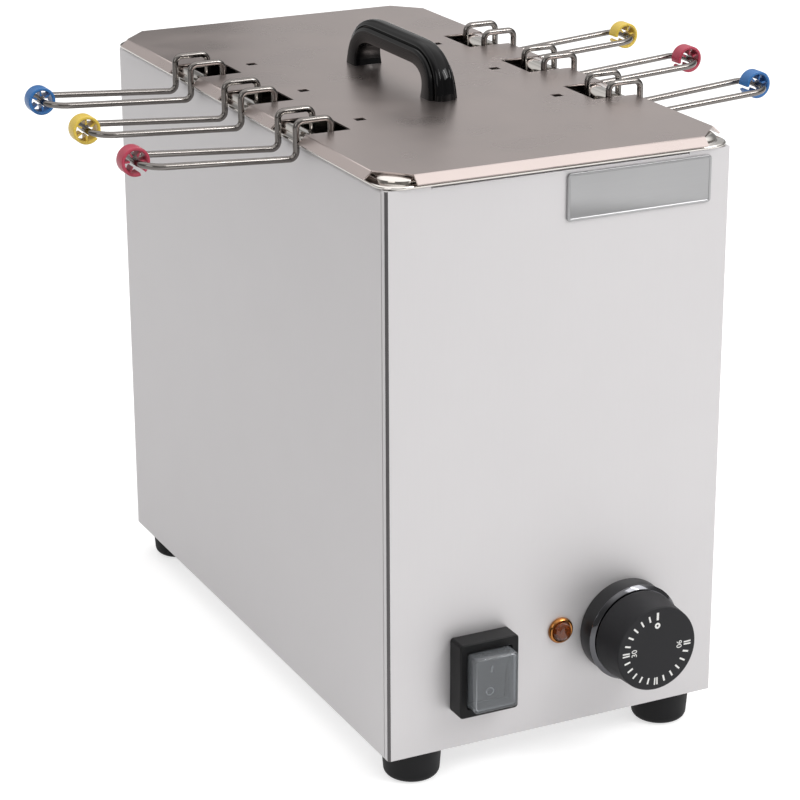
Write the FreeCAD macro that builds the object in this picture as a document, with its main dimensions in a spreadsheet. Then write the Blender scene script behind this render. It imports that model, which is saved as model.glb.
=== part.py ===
import FreeCAD, Part
import math
import os

import Sketcher

# Countertop egg boiler: a sheet-metal housing on four rubber feet, a hung water tank heated
# from below, a notched lid and six bent-wire egg baskets that hook over the rim of the tank.
# Frame: X across the front, Y from front to back, Z up; the origin is on the table, under
# the middle of the whole, from the knob's face to the cable gland. Each piece is drawn about
# the middle of the housing and moved back by `set_back` when it is written out.
# All lengths are in millimetres.

SIZES = {
    # housing
    "body_width": 170.0,
    "body_depth": 319.0,
    "body_height": 266.0,
    "sheet": 1.0,
    "bend_outside": 3.2,
    "bend_inside": 2.2,
    "seam_back": 4.0,
    "seam_gap": 0.5,
    "joggle_length": 12.0,
    "flange_top": 10.0,
    "flange_bottom": 10.5,
    "front_flange_inset": 21.5,
    "front_flange_round": 2.0,
    "relief_width": 1.2,
    "relief_depth": 3.4,
    "running_gap": 0.3,
    "hole_sides": 8.0,
    "pipe_sides": 8.0,
    "hex_sides": 6.0,
    "round_sides": 24.0,
    "tube_sides": 12.0,
    "fit_gap": 0.15,
    "overrun": 5.0,
    # feet
    "foot_height": 16.0,
    "foot_radius": 14.0,
    "foot_bevel": 1.6,
    "foot_inset_x": 18.8,
    "foot_inset_y": 15.0,
    "foot_recess_radius": 6.0,
    "foot_recess_depth": 6.0,
    # screws
    "screw_radius": 2.5,
    "bolt_head": 2.6,
    "plate_bolt_head": 1.1,
    "nut_radius": 4.6,
    "nut_height": 3.6,
    "bottom_screw_from_foot": 26.2,
    "bottom_screw_inset": 6.5,
    # bottom plate
    "vent_length": 34.0,
    "vent_width": 4.0,
    "vent_pitch": 9.0,
    "vent_count": 7.0,
    # tank
    "rim_overhang": 1.5,
    "rim_width": 13.3,
    "rim_lip": 4.0,
    "rim_height": 4.9,
    "rim_round": 4.2,
    "rim_inner_round": 3.0,
    "rim_corner": 11.0,
    "tank_sheet": 0.8,
    "tank_depth": 150.0,
    "tank_corner": 22.0,
    "tank_floor_edge": 7.0,
    # heater
    "element_radius": 4.0,
    "element_inset_x": 37.2,
    "element_inset_y": 52.7,
    "element_bend": 12.0,
    "element_steps": 3.0,
    "element_tail": 24.0,
    "clamp_inset_x": 21.2,
    "clamp_inset_y": 66.0,
    "clamp_sheet": 2.0,
    "stud_share": 0.5,
    "stud_inset_y": 81.7,
    # thermostat, cut-out and wiring points
    "thermostat_width": 38.0,
    "thermostat_height": 32.0,
    "thermostat_depth": 26.0,
    "thermostat_nut_radius": 8.0,
    "thermostat_nut_height": 1.8,
    "bulb_radius": 3.0,
    "bulb_length": 90.0,
    "capillary_radius": 1.0,
    "capillary_bend": 10.0,
    "capillary_lead": 28.0,
    "capillary_steps": 4.0,
    "bulb_clip_width": 10.0,
    "cutout_radius": 8.0,
    "cutout_height": 9.0,
    "cutout_from_end": 35.7,
    "terminal_length": 46.0,
    "terminal_width": 20.0,
    "terminal_height": 18.0,
    "terminal_from_back": 41.5,
    "terminal_pitch": 11.5,
    "terminal_well": 6.0,
    # cable gland
    "gland_inset": 37.0,
    "gland_above_bottom": 30.0,
    "gland_thread_radius": 7.8,
    "gland_bore_radius": 4.0,
    "gland_hex_radius": 12.0,
    "gland_hex_height": 6.0,
    "gland_cap_radius": 9.4,
    "gland_cap_height": 9.0,
    "gland_tail": 9.0,
    # switch
    "switch_x": -39.4,
    "switch_above_bottom": 37.2,
    "switch_width": 29.6,
    "switch_height": 36.4,
    "switch_frame_depth": 10.7,
    "switch_window_width": 22.4,
    "switch_window_height": 27.2,
    "cap_sheet": 0.9,
    "cap_reach": 5.1,
    "cap_seat": 2.4,
    "cap_round": 1.4,
    "switch_housing_depth": 28.0,
    "switch_housing_setback": 2.7,
    "rocker_well": 6.4,
    "rocker_half_width": 8.6,
    "rocker_half_height": 11.2,
    "rocker_side_gap": 0.6,
    "rocker_face": 4.3,
    "rocker_shoulder": 1.4,
    "rocker_dip": 3.1,
    "rocker_root": 2.2,
    "rocker_root_half": 7.6,
    "rocker_pivot_depth": 2.2,
    "rocker_pin_radius": 1.2,
    "rocker_pin_reach": 1.1,
    "rocker_tilt": 10.0,
    # pilot lamp
    "lamp_x": 2.6,
    "lamp_above_bottom": 47.6,
    "lamp_radius": 6.3,
    "lamp_collar": 2.2,
    "lamp_dome": 2.6,
    "lamp_body_radius": 4.8,
    "lamp_body_length": 24.0,
    # knob
    "knob_x": 36.2,
    "knob_above_bottom": 43.5,
    "bezel_radius": 23.0,
    "bezel_depth": 9.4,
    "trim_radius": 23.4,
    "trim_thickness": 2.0,
    "knob_gap": 0.7,
    "knob_radius": 21.6,
    "knob_length": 18.0,
    "knob_bevel": 2.6,
    "knob_bore_depth": 12.0,
    "shaft_radius": 3.0,
    "shaft_bushing_radius": 4.6,
    "shaft_bushing_length": 7.0,
    "pointer_width": 2.2,
    "pointer_length": 5.0,
    "pointer_depth": 0.4,
    "pointer_radius": 15.9,
    # badge plate
    "badge_inset": 10.2,
    "badge_below_top": 13.2,
    "badge_width": 73.0,
    "badge_height": 21.7,
    "badge_sheet": 1.2,
    "badge_border": 1.3,
    "badge_recess": 0.3,
    "badge_edge": 0.5,
    # lid
    "lid_sheet": 0.8,
    "lid_rise": 5.2,
    "lid_inset": 2.0,
    "lid_corner_x": 13.0,
    "lid_corner_y": 14.0,
    "lid_flange_out": 4.0,
    "lid_flange_down": 3.5,
    "lid_flange_tip": 0.3,
    "notch_depth": 22.0,
    "notch_length": 30.0,
    "vent_hole": 4.8,
    "vent_hole_gap": 11.5,
    # lid handle
    "handle_half_length": 48.5,
    "handle_height": 24.4,
    "handle_width": 12.6,
    "handle_crown_width": 10.6,
    "handle_crown": 3.4,
    "handle_bar": 9.4,
    "handle_leg": 11.4,
    "handle_outer_round": 15.0,
    "handle_inner_round": 9.0,
    "handle_crown_bevel": 2.4,
    "handle_screw_hole": 2.2,
    "handle_screw_depth": 9.0,
    # baskets
    "basket_rows": 3.0,
    "basket_pitch": 62.5,
    "wire_radius": 1.5,
    "wire_bend": 3.3,
    "wire_spacing": 20.0,
    "wire_sides": 8.0,
    "wire_steps": 2.0,
    "hook_rise": 12.0,
    "handle_drop": 5.0,
    "grip_reach": 75.5,
    "grip_rise": 0.0,
    "grip_spacing": 24.0,
    "grip_radius": 6.6,
    "grip_wall": 1.5,
    "grip_length": 7.6,
    "grip_slot": 2.6,
    "grip_slot_turn": 25.0,
    "grip_shift": 2.5,
    "grip_hub_radius": 3.0,
    "grip_spoke": 1.4,
    "grip_sides": 16.0,
    "grip_hub_sides": 8.0,
    "basket_shift": 3.0,
    "cage_height": 44.0,
    "cage_radius": 25.0,
    "cage_band": 8.0,
    "cage_sheet": 1.0,
    "cage_strip": 6.0,
    "cage_strip_setback": 2.0,
    "cage_bend": 7.0,
    "cage_sides": 24.0,
}


class Size:
    """A length or count with the words that work it out in the sheet."""

    def __init__(self, number, words):
        self.number = number
        self.words = words

    def join(self, sign, other, number):
        return Size(number, f"({self.words} {sign} {other.words})")

    def __add__(self, other):
        other = as_size(other)
        return self.join("+", other, self.number + other.number)

    def __sub__(self, other):
        other = as_size(other)
        return self.join("-", other, self.number - other.number)

    def __mul__(self, other):
        other = as_size(other)
        return self.join("*", other, self.number * other.number)

    def __truediv__(self, other):
        other = as_size(other)
        return self.join("/", other, self.number / other.number)

    def __neg__(self):
        return Size(-self.number, f"(-1 * {self.words})")

    def __float__(self):
        return float(self.number)

    def root(self):
        """Square root, worked out in the sheet as well."""
        return Size(math.sqrt(self.number), f"sqrt({self.words})")


def as_size(value):
    """Give a plain number the form of a named size."""
    return value if isinstance(value, Size) else Size(float(value), repr(float(value)))


def whole(size):
    """A count of sides, steps or repeats as a whole number."""
    return int(float(size))


class Named:
    """Every named size of the part, each bound to its own cell."""


document = FreeCAD.newDocument("EggBoiler")
sheet = document.addObject("Spreadsheet::Sheet", "Sizes")
n = Named()
for row, (alias, length) in enumerate(SIZES.items(), start=1):
    sheet.set(f"A{row}", alias.replace("_", " "))
    sheet.set(f"B{row}", str(length))
    sheet.setAlias(f"B{row}", alias)
document.recompute()
for alias in SIZES:
    setattr(n, alias, Size(float(sheet.get(alias)), f"Sizes.{alias}"))
zero = as_size(0)

nodes = []


def bind(feature, name, size):
    """Tie one property of a feature to the sheet."""
    size = as_size(size)
    feature.setExpression(name, size.words)


def place(feature, x=zero, y=zero, z=zero):
    """Tie the place of a feature to the sheet."""
    bind(feature, "Placement.Base.x", x)
    bind(feature, "Placement.Base.y", y)
    bind(feature, "Placement.Base.z", z)


def keep(feature, label):
    """Note a finished piece under the name of its node."""
    feature.Label = label
    nodes.append(feature)
    return feature


# Sketch-based pieces


def new_body(label):
    """Start a piece that is built from sketches."""
    return keep(document.addObject("PartDesign::Body", label), label)


def new_sketch(body, name, role, start):
    """Attach a sketch to one of the piece's own planes, moved along that plane's normal."""
    plane = next(p for p in body.Origin.OriginFeatures if p.Role == role)
    sketch = body.newObject("Sketcher::SketchObject", name)
    sketch.AttachmentSupport = [(plane, "")]
    sketch.MapMode = "FlatFace"
    bind(sketch, "AttachmentOffset.Base.z", start)
    return sketch


def add_locks(sketch, locks):
    """Add constraints in one step and tie those that carry a size to the sheet."""
    rules = [rule for rule, size in locks]
    first = sketch.ConstraintCount
    sketch.addConstraint(rules)
    for index, (rule, size) in enumerate(locks, start=first):
        if size is not None:
            bind(sketch, f"Constraints[{index}]", size)


def draw_outline(sketch, points):
    """Draw a closed outline of straight runs and tie each corner to the sheet."""
    corners = [(as_size(a), as_size(b)) for a, b in points]
    first = sketch.GeometryCount
    count = len(corners)
    vectors = [FreeCAD.Vector(float(a), float(b), 0) for a, b in corners]
    runs = [Part.LineSegment(vectors[i], vectors[(i + 1) % count]) for i in range(count)]
    sketch.addGeometry(runs, False)
    locks = []
    for i, (a, b) in enumerate(corners):
        line, after = first + i, first + (i + 1) % count
        locks.append((Sketcher.Constraint("Coincident", line, 2, after, 1), None))
        locks.append((Sketcher.Constraint("DistanceX", -1, 1, line, 1, float(a)), a))
        locks.append((Sketcher.Constraint("DistanceY", -1, 1, line, 1, float(b)), b))
    add_locks(sketch, locks)


def draw_circle(sketch, a, b, radius):
    """Draw a circle and tie its centre and radius to the sheet."""
    a, b, radius = as_size(a), as_size(b), as_size(radius)
    centre = FreeCAD.Vector(float(a), float(b), 0)
    circle = Part.Circle(centre, FreeCAD.Vector(0, 0, 1), float(radius))
    geometry = sketch.addGeometry(circle, False)
    for kind, size in (("DistanceX", a), ("DistanceY", b)):
        lock = Sketcher.Constraint(kind, -1, 1, geometry, 3, float(size))
        index = sketch.addConstraint(lock)
        bind(sketch, f"Constraints[{index}]", size)
    index = sketch.addConstraint(Sketcher.Constraint("Radius", geometry, float(radius)))
    bind(sketch, f"Constraints[{index}]", radius)


def draw_soft_outline(sketch, corners):
    """Draw a closed outline of level and upright runs whose corners may be round."""
    spots = [(as_size(a), as_size(b), as_size(r)) for a, b, r in corners]
    points = [FreeCAD.Vector(float(a), float(b), 0) for a, b, r in spots]
    count = len(points)
    first = sketch.GeometryCount
    ways = [(points[(i + 1) % count] - points[i]).normalize() for i in range(count)]
    reaches = [float(r) for a, b, r in spots]
    for i in range(count):
        after = (i + 1) % count
        run = Part.LineSegment(points[i] + ways[i] * reaches[i],
                               points[after] - ways[i] * reaches[after])
        sketch.addGeometry(run, False)
    for i, (a, b, radius) in enumerate(spots):
        before = first + (i - 1) % count
        line = first + i
        fixed, size = ("DistanceX", a) if abs(ways[i].x) < NEAR else ("DistanceY", b)
        kind = "Vertical" if fixed == "DistanceX" else "Horizontal"
        sketch.addConstraint(Sketcher.Constraint(kind, line))
        lock = Sketcher.Constraint(fixed, -1, 1, line, 1, float(size))
        bind(sketch, f"Constraints[{sketch.addConstraint(lock)}]", size)
        if not reaches[i]:
            sketch.addConstraint(Sketcher.Constraint("Coincident", before, 2, line, 1))
            continue
        start = points[i] - ways[i - 1] * reaches[i]
        end = points[i] + ways[i] * reaches[i]
        centre = start + ways[i] * reaches[i]
        middle = centre + (points[i] - centre).normalize() * reaches[i]
        arc = sketch.addGeometry(Part.Arc(start, middle, end), False)
        left = ways[i - 1].x * ways[i].y - ways[i - 1].y * ways[i].x > 0
        enter, leave = (1, 2) if left else (2, 1)
        sketch.addConstraint(Sketcher.Constraint("Tangent", before, 2, arc, enter))
        sketch.addConstraint(Sketcher.Constraint("Tangent", line, 1, arc, leave))
        lock = Sketcher.Constraint("Radius", arc, reaches[i])
        bind(sketch, f"Constraints[{sketch.addConstraint(lock)}]", radius)


def round_rectangle(half_a, half_b, radius):
    """Corners of a rectangle about the sketch's own centre, all rounded alike."""
    return [(-half_a, -half_b, radius), (half_a, -half_b, radius),
            (half_a, half_b, radius), (-half_a, half_b, radius)]


def rectangle(a_low, a_high, b_low, b_high):
    """The four corners of a rectangle."""
    return [(a_low, b_low), (a_high, b_low), (a_high, b_high), (a_low, b_high)]


def pad(body, name, role, start, length, *outlines):
    """Add material from start onward along the plane's normal."""
    sketch = new_sketch(body, name + "_sketch", role, start)
    for points in outlines:
        draw_outline(sketch, points)
    feature = body.newObject("PartDesign::Pad", name)
    feature.Profile = sketch
    bind(feature, "Length", length)
    return feature


def pad_disc(body, name, role, start, length, *circles):
    """Add round material from start onward along the plane's normal."""
    sketch = new_sketch(body, name + "_sketch", role, start)
    for a, b, radius in circles:
        draw_circle(sketch, a, b, radius)
    feature = body.newObject("PartDesign::Pad", name)
    feature.Profile = sketch
    bind(feature, "Length", length)
    return feature


def pad_soft(body, name, role, start, length, *outlines):
    """Add material whose outline has round corners from start onward."""
    sketch = new_sketch(body, name + "_sketch", role, start)
    for corners in outlines:
        draw_soft_outline(sketch, corners)
    feature = body.newObject("PartDesign::Pad", name)
    feature.Profile = sketch
    bind(feature, "Length", length)
    return feature


def cut_soft(body, name, role, start, length, *outlines):
    """Remove material whose outline has round corners from start onward."""
    document.recompute()
    before = body.Shape.Volume
    sketch = new_sketch(body, name + "_sketch", role, start)
    for corners in outlines:
        draw_soft_outline(sketch, corners)
    return finish_cut(body, name, sketch, length, before)


def finish_cut(body, name, sketch, length, before):
    """Cut a sketch from the piece and make sure that it took material away."""
    feature = body.newObject("PartDesign::Pocket", name)
    feature.Profile = sketch
    feature.Reversed = True
    bind(feature, "Length", length)
    document.recompute()
    if not body.Shape.Volume < before:
        raise ValueError(f"{name} removes nothing from {body.Label}")
    return feature


def cut(body, name, role, start, length, *outlines):
    """Remove straight-sided material from start onward along the plane's normal."""
    document.recompute()
    before = body.Shape.Volume
    sketch = new_sketch(body, name + "_sketch", role, start)
    for points in outlines:
        draw_outline(sketch, points)
    return finish_cut(body, name, sketch, length, before)


def drill(body, name, role, start, length, *circles):
    """Remove small holes, drawn with few sides just round each radius, from start onward."""
    sides = whole(n.hole_sides)
    figures = [many_sided(a, b, radius / math.cos(math.pi / sides), sides)
               for a, b, radius in circles]
    return cut(body, name, role, start, length, *figures)


def bore(body, name, role, start, length, *circles):
    """Remove truly round holes from start onward along the plane's normal."""
    document.recompute()
    before = body.Shape.Volume
    sketch = new_sketch(body, name + "_sketch", role, start)
    for a, b, radius in circles:
        draw_circle(sketch, a, b, radius)
    return finish_cut(body, name, sketch, length, before)


def many_sided(a, b, radius, sides):
    """Corners of an even figure round a centre, the first straight out along the first way."""
    turns = [2 * math.pi * i / sides for i in range(sides)]
    return [(a + radius * round(math.cos(t), 9), b + radius * round(math.sin(t), 9))
            for t in turns]


def mirror(body, name, feature, role):
    """Repeat a feature on the other side of one of the piece's own planes."""
    plane = next(p for p in body.Origin.OriginFeatures if p.Role == role)
    copy = body.newObject("PartDesign::Mirrored", name)
    copy.Originals = [feature]
    copy.MirrorPlane = (plane, [""])
    body.Tip = copy
    return copy


def repeat(body, name, feature, role, pitch, count):
    """Repeat a feature in a row along one of the piece's own axes, starting at the first."""
    axis = next(p for p in body.Origin.OriginFeatures if p.Role == role)
    copy = body.newObject("PartDesign::LinearPattern", name)
    copy.Originals = [feature]
    copy.Direction = (axis, [""])
    copy.Mode = "Spacing"
    bind(copy, "Offset", pitch)
    copy.Occurrences = count
    body.Tip = copy
    return copy


def soften(body, name, radius, wanted, kind="Fillet"):
    """Round or bevel every edge of the piece that the test picks out."""
    document.recompute()
    base = body.Tip
    edges = [f"Edge{i}" for i, e in enumerate(base.Shape.Edges, start=1) if wanted(e)]
    if not edges:
        raise ValueError(f"{name} finds no edge on {body.Label}")
    feature = body.newObject(f"PartDesign::{kind}", name)
    feature.Base = (base, edges)
    bind(feature, "Radius" if kind == "Fillet" else "Size", radius)
    return feature


NEAR = 1e-4


def level(edge, axis, place_at):
    """True where the whole edge lies at one value along an axis."""
    box = edge.BoundBox
    low = (box.XMin, box.YMin, box.ZMin)[axis]
    high = (box.XMax, box.YMax, box.ZMax)[axis]
    goal = float(place_at)
    return abs(low - goal) < NEAR and abs(high - goal) < NEAR


def upright(edge):
    """True for a straight edge along Z."""
    box = edge.BoundBox
    return box.XLength < NEAR and box.YLength < NEAR


# Pieces made of plain primitives


def primitive(kind, name, **sizes):
    """Make one primitive and tie its sizes to the sheet."""
    feature = document.addObject(f"Part::{kind}", name)
    for key, size in sizes.items():
        bind(feature, key, size)
    return feature


ALONG = {
    "up": FreeCAD.Rotation(),
    "down": FreeCAD.Rotation(FreeCAD.Vector(1, 0, 0), 180),
    "front": FreeCAD.Rotation(FreeCAD.Vector(1, 0, 0), 90),
    "back": FreeCAD.Rotation(FreeCAD.Vector(1, 0, 0), -90),
}


def rod(name, radius, length, way, x, y, z):
    """A round bar that starts at x, y, z and runs one way."""
    feature = primitive("Cylinder", name, Radius=radius, Height=length)
    feature.Placement = FreeCAD.Placement(FreeCAD.Vector(), ALONG[way])
    place(feature, x, y, z)
    return feature


def bar(name, sides, radius, length, way, x, y, z):
    """A many-sided bar that starts at x, y, z and runs one way."""
    feature = primitive("Prism", name, Circumradius=radius, Height=length)
    feature.Polygon = whole(sides)
    feature.Placement = FreeCAD.Placement(FreeCAD.Vector(), ALONG[way])
    place(feature, x, y, z)
    return feature


def hexagon(name, radius, length, way, x, y, z):
    """A six-sided bar, as for nuts and bolt heads."""
    return bar(name, n.hex_sides, radius, length, way, x, y, z)


def fuse(label, *pieces):
    """Join pieces that touch."""
    feature = document.addObject("Part::MultiFuse", label)
    feature.Shapes = list(pieces)
    feature.Refine = True
    return feature


def less(label, base, tool):
    """Take one shape out of another."""
    feature = document.addObject("Part::Cut", label)
    feature.Base = base
    feature.Tool = tool
    return feature


def group(label, *pieces):
    """Keep equal pieces together in one node as separate solids."""
    feature = document.addObject("Part::Compound", label)
    feature.Links = list(pieces)
    return keep(feature, label)


# Bent wire


def bend_points(points, bend, steps):
    """Centre line of straight runs joined by round bends, each bend cut into equal chords."""
    path = [points[0]]
    for before, corner, after in zip(points, points[1:], points[2:]):
        incoming = (corner - before).normalize()
        outgoing = (after - corner).normalize()
        turned = incoming.getAngle(outgoing)
        axis = incoming.cross(outgoing).normalize()
        start = corner - incoming * (bend * math.tan(turned / 2))
        centre = start + axis.cross(incoming) * bend
        for step in range(steps + 1):
            swing = FreeCAD.Rotation(axis, math.degrees(turned * step / steps))
            path.append(centre + swing.multVec(start - centre))
    return path + [points[-1]]


def bent_wire(points, radius, bend, steps, sides):
    """A bent wire of even section: each side runs straight on to the mitre at the next turn."""
    path = bend_points(points, bend, steps)
    ways = [(after - before).normalize() for before, after in zip(path, path[1:])]
    helper = FreeCAD.Vector(0, 1, 0)
    if ways[0].cross(helper).Length < NEAR:
        helper = FreeCAD.Vector(0, 0, 1)
    side = ways[0].cross(helper).normalize()
    other = ways[0].cross(side)
    turns = [2 * math.pi * i / sides for i in range(sides)]
    ring = [path[0] + (side * math.cos(t) + other * math.sin(t)) * radius for t in turns]
    faces = [Part.Face(Part.makePolygon(ring + ring[:1]))]
    for i, way in enumerate(ways):
        after = ways[min(i + 1, len(ways) - 1)]
        mitre = (way + after).normalize()
        ahead = [p + way * ((path[i + 1] - p).dot(mitre) / way.dot(mitre)) for p in ring]
        for j in range(sides):
            k = (j + 1) % sides
            corners = [ring[j], ring[k], ahead[k], ahead[j], ring[j]]
            faces.append(Part.Face(Part.makePolygon(corners)))
        ring = ahead
    faces.append(Part.Face(Part.makePolygon(ring + ring[:1])))
    shell = Part.makeShell(faces)
    shell.sewShape()
    solid = Part.makeSolid(shell)
    if solid.Volume < 0:
        solid.reverse()
    return solid


def shaped(label, shape):
    """A piece whose shape is worked out directly from the sheet's values."""
    feature = document.addObject("Part::Feature", label)
    feature.Shape = shape
    return keep(feature, label)


# Levels and faces that several pieces share

half_width = n.body_width / 2
half_depth = n.body_depth / 2
top = n.foot_height + n.body_height
front = -half_depth
plate_top = n.foot_height + n.sheet
tank_half_x = half_width + n.rim_overhang - n.rim_width
tank_half_y = half_depth + n.rim_overhang - n.rim_width
tank_floor = top - n.tank_depth
element_z = tank_floor - n.element_radius - n.fit_gap
clamp_base = element_z - n.element_radius - n.fit_gap - n.clamp_sheet
element_half_x = tank_half_x - n.element_inset_x
element_half_y = tank_half_y - n.element_inset_y
stud_x = element_half_x * n.stud_share
stud_y = tank_half_y - n.stud_inset_y
switch_z = n.foot_height + n.switch_above_bottom
lamp_z = n.foot_height + n.lamp_above_bottom
knob_z = n.foot_height + n.knob_above_bottom
gland_x = half_width - n.gland_inset
gland_z = n.foot_height + n.gland_above_bottom
foot_x = half_width - n.foot_inset_x
foot_y = half_depth - n.foot_inset_y
bottom_screw_x = foot_x - n.bottom_screw_from_foot
lid_under = top + n.lid_rise
lid_half_x = half_width + n.rim_overhang - n.lid_inset
lid_half_y = half_depth + n.rim_overhang - n.lid_inset
grip_x = half_width + n.grip_reach
first_basket = -(n.basket_pitch * (n.basket_rows - 1) / 2)
knob_reach = n.bezel_depth + n.trim_thickness + n.knob_gap + n.knob_length
gland_reach = n.gland_hex_height + n.gland_cap_height
set_back = (knob_reach - gland_reach) / 2


def make_wrap():
    """Side panels and back in one bent sheet, open at the front."""
    body = new_body("side_and_back_wrap")
    inner = half_width - n.sheet
    back = half_depth
    start = front + n.seam_back + n.seam_gap
    plan = [
        (-half_width, start), (-half_width, back), (half_width, back), (half_width, start),
        (inner, start), (inner, back - n.sheet), (-inner, back - n.sheet), (-inner, start),
    ]
    pad(body, "wrap_walls", "XY_Plane", n.foot_height, n.body_height, plan)
    for name, base, width in (
        ("wrap_top_flange", top - n.sheet, n.flange_top),
        ("wrap_bottom_flange", plate_top, n.flange_bottom),
    ):
        flange_start = front + n.joggle_length + n.seam_back + n.running_gap
        ring = [
            (-inner, flange_start), (-inner, back - n.sheet),
            (inner, back - n.sheet), (inner, flange_start),
            (half_width - width, flange_start), (half_width - width, back - width),
            (width - half_width, back - width), (width - half_width, flange_start),
        ]
        pad(body, name, "XY_Plane", base, n.sheet, ring)
    soften(body, "wrap_back_bends", n.bend_outside,
           lambda e: upright(e) and level(e, 1, back) and e.BoundBox.ZLength > float(n.flange_top))
    soften(body, "wrap_top_bends", n.front_flange_round,
           lambda e: level(e, 2, top) and e.BoundBox.YLength > float(n.flange_top)
           and (level(e, 0, half_width) or level(e, 0, -half_width)))
    drill(body, "gland_hole", "XZ_Plane", -(back + n.overrun), n.overrun + n.overrun,
          (gland_x, gland_z, n.gland_thread_radius + n.fit_gap))
    holes = [(x, back - n.bottom_screw_inset, n.screw_radius)
             for x in (bottom_screw_x, -bottom_screw_x)]
    drill(body, "bottom_screw_holes", "XY_Plane", n.foot_height, n.overrun, *holes)


def make_front_panel():
    """Front with bent edges that tuck behind the wrap, and a flange along its top."""
    body = new_body("front_panel")
    seam = front + n.seam_back
    tuck = half_width - n.sheet - n.running_gap
    inner = tuck - n.sheet
    tail = seam + n.joggle_length
    plan = [
        (-half_width, front), (half_width, front), (half_width, seam), (tuck, seam),
        (tuck, tail), (inner, tail), (inner, front + n.sheet),
        (-inner, front + n.sheet), (-inner, tail), (-tuck, tail), (-tuck, seam),
        (-half_width, seam),
    ]
    pad(body, "front_walls", "XY_Plane", n.foot_height, n.body_height, plan)
    relief_in = half_width - n.front_flange_inset
    relief_out = relief_in + n.relief_width
    pad(body, "front_top_flange", "XY_Plane", top - n.sheet, n.sheet,
        rectangle(-relief_in, relief_in, front + n.sheet, front + n.flange_top))
    pad(body, "front_bottom_flange", "XY_Plane", plate_top, n.sheet,
        rectangle(-foot_x, foot_x, front + n.sheet, front + n.flange_bottom))
    soften(body, "front_bends", n.bend_outside,
           lambda e: upright(e) and level(e, 1, front))
    cut(body, "flange_reliefs", "XY_Plane", top - n.relief_depth, n.relief_depth + n.overrun,
        rectangle(relief_in, relief_out, front - n.overrun, front + n.overrun),
        rectangle(-relief_out, -relief_in, front - n.overrun, front + n.overrun))
    soften(body, "front_top_bend", n.front_flange_round,
           lambda e: level(e, 2, top) and level(e, 1, front)
           and abs(e.CenterOfMass.x) < float(n.relief_width))
    cut(body, "switch_opening", "XZ_Plane", half_depth - n.overrun, n.overrun + n.overrun,
        rectangle(n.switch_x - n.switch_window_width / 2, n.switch_x + n.switch_window_width / 2,
                  switch_z - n.switch_window_height / 2, switch_z + n.switch_window_height / 2))
    drill(body, "control_holes", "XZ_Plane", half_depth - n.overrun, n.overrun + n.overrun,
          (n.lamp_x, lamp_z, n.lamp_body_radius + n.fit_gap),
          (n.knob_x, knob_z, n.shaft_bushing_radius + n.fit_gap))
    holes = [(x, front + n.bottom_screw_inset, n.screw_radius)
             for x in (bottom_screw_x, -bottom_screw_x)]
    drill(body, "front_screw_holes", "XY_Plane", n.foot_height, n.overrun, *holes)


def make_bottom_plate():
    """Flat plate under the flanges, slotted for air and drilled for feet and screws."""
    body = new_body("bottom_plate")
    gap = n.running_gap
    side = half_width - n.sheet - n.running_gap - n.sheet - gap
    end = half_depth - n.sheet - gap
    pad(body, "plate", "XY_Plane", n.foot_height, n.sheet, rectangle(-side, side, -end, end))
    circles = [(x, y, n.screw_radius)
               for x in (foot_x, -foot_x) for y in (foot_y, -foot_y)]
    inset = half_depth - n.bottom_screw_inset
    circles += [(x, y, n.screw_radius)
                for x in (bottom_screw_x, -bottom_screw_x) for y in (inset, -inset)]
    drill(body, "plate_holes", "XY_Plane", n.foot_height - n.overrun, n.overrun * 2, *circles)
    first = -(n.vent_pitch * (n.vent_count - 1) / 2)
    slot = cut(body, "vent_slot", "XY_Plane", n.foot_height - n.overrun, n.overrun * 2,
               rectangle(-n.vent_length / 2, n.vent_length / 2,
                         first - n.vent_width / 2, first + n.vent_width / 2))
    repeat(body, "vent_slots", slot, "Y_Axis", n.vent_pitch, whole(n.vent_count))


def make_feet():
    """Four round rubber feet, each with a bevelled toe and a well for its bolt."""
    feet = []
    for x in (foot_x, -foot_x):
        for y in (foot_y, -foot_y):
            foot = document.addObject("PartDesign::Body", "foot")
            pad_disc(foot, "foot_form", "XY_Plane", zero, n.foot_height,
                     (zero, zero, n.foot_radius))
            soften(foot, "foot_toe", n.foot_bevel, lambda e: level(e, 2, zero), "Chamfer")
            drill(foot, "bolt_well", "XY_Plane", -n.overrun, n.overrun + n.foot_recess_depth,
                  (zero, zero, n.foot_recess_radius))
            drill(foot, "bolt_hole", "XY_Plane", -n.overrun, n.overrun * 2 + n.foot_height,
                  (zero, zero, n.screw_radius))
            place(foot, x, y, zero)
            feet.append(foot)
    group("feet", *feet)


def hex_bolt(name, x, y, base, head_height, grip, way="up"):
    """A hexagon-headed bolt whose head ends at base, with its shank running on."""
    back = "down" if way == "up" else "up"
    head = hexagon(name + "_head", n.nut_radius, head_height, back, x, y, base)
    shank = bar(name + "_shank", n.hole_sides, n.screw_radius, grip, way, x, y, base)
    return head, shank


def make_screws():
    """Foot bolts with their nuts, and the bolts that hold the bottom plate."""
    bolts = []
    for x in (foot_x, -foot_x):
        for y in (foot_y, -foot_y):
            base = n.foot_recess_depth
            grip = n.foot_height - base + n.sheet + n.nut_height
            head, shank = hex_bolt("foot_bolt", x, y, base, n.bolt_head, grip)
            nut = hexagon("foot_nut", n.nut_radius, n.nut_height, "up", x, y, plate_top)
            bolts.append(fuse("foot_bolt", head, shank, nut))
    group("foot_bolts", *bolts)
    bolts = []
    inset = half_depth - n.bottom_screw_inset
    for x in (bottom_screw_x, -bottom_screw_x):
        for y in (inset, -inset):
            grip = n.sheet * 2 + n.nut_height
            bolts.append(fuse("plate_bolt", *hex_bolt("plate_bolt", x, y, n.foot_height,
                                                      n.plate_bolt_head, grip)))
    group("bottom_plate_bolts", *bolts)


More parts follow.
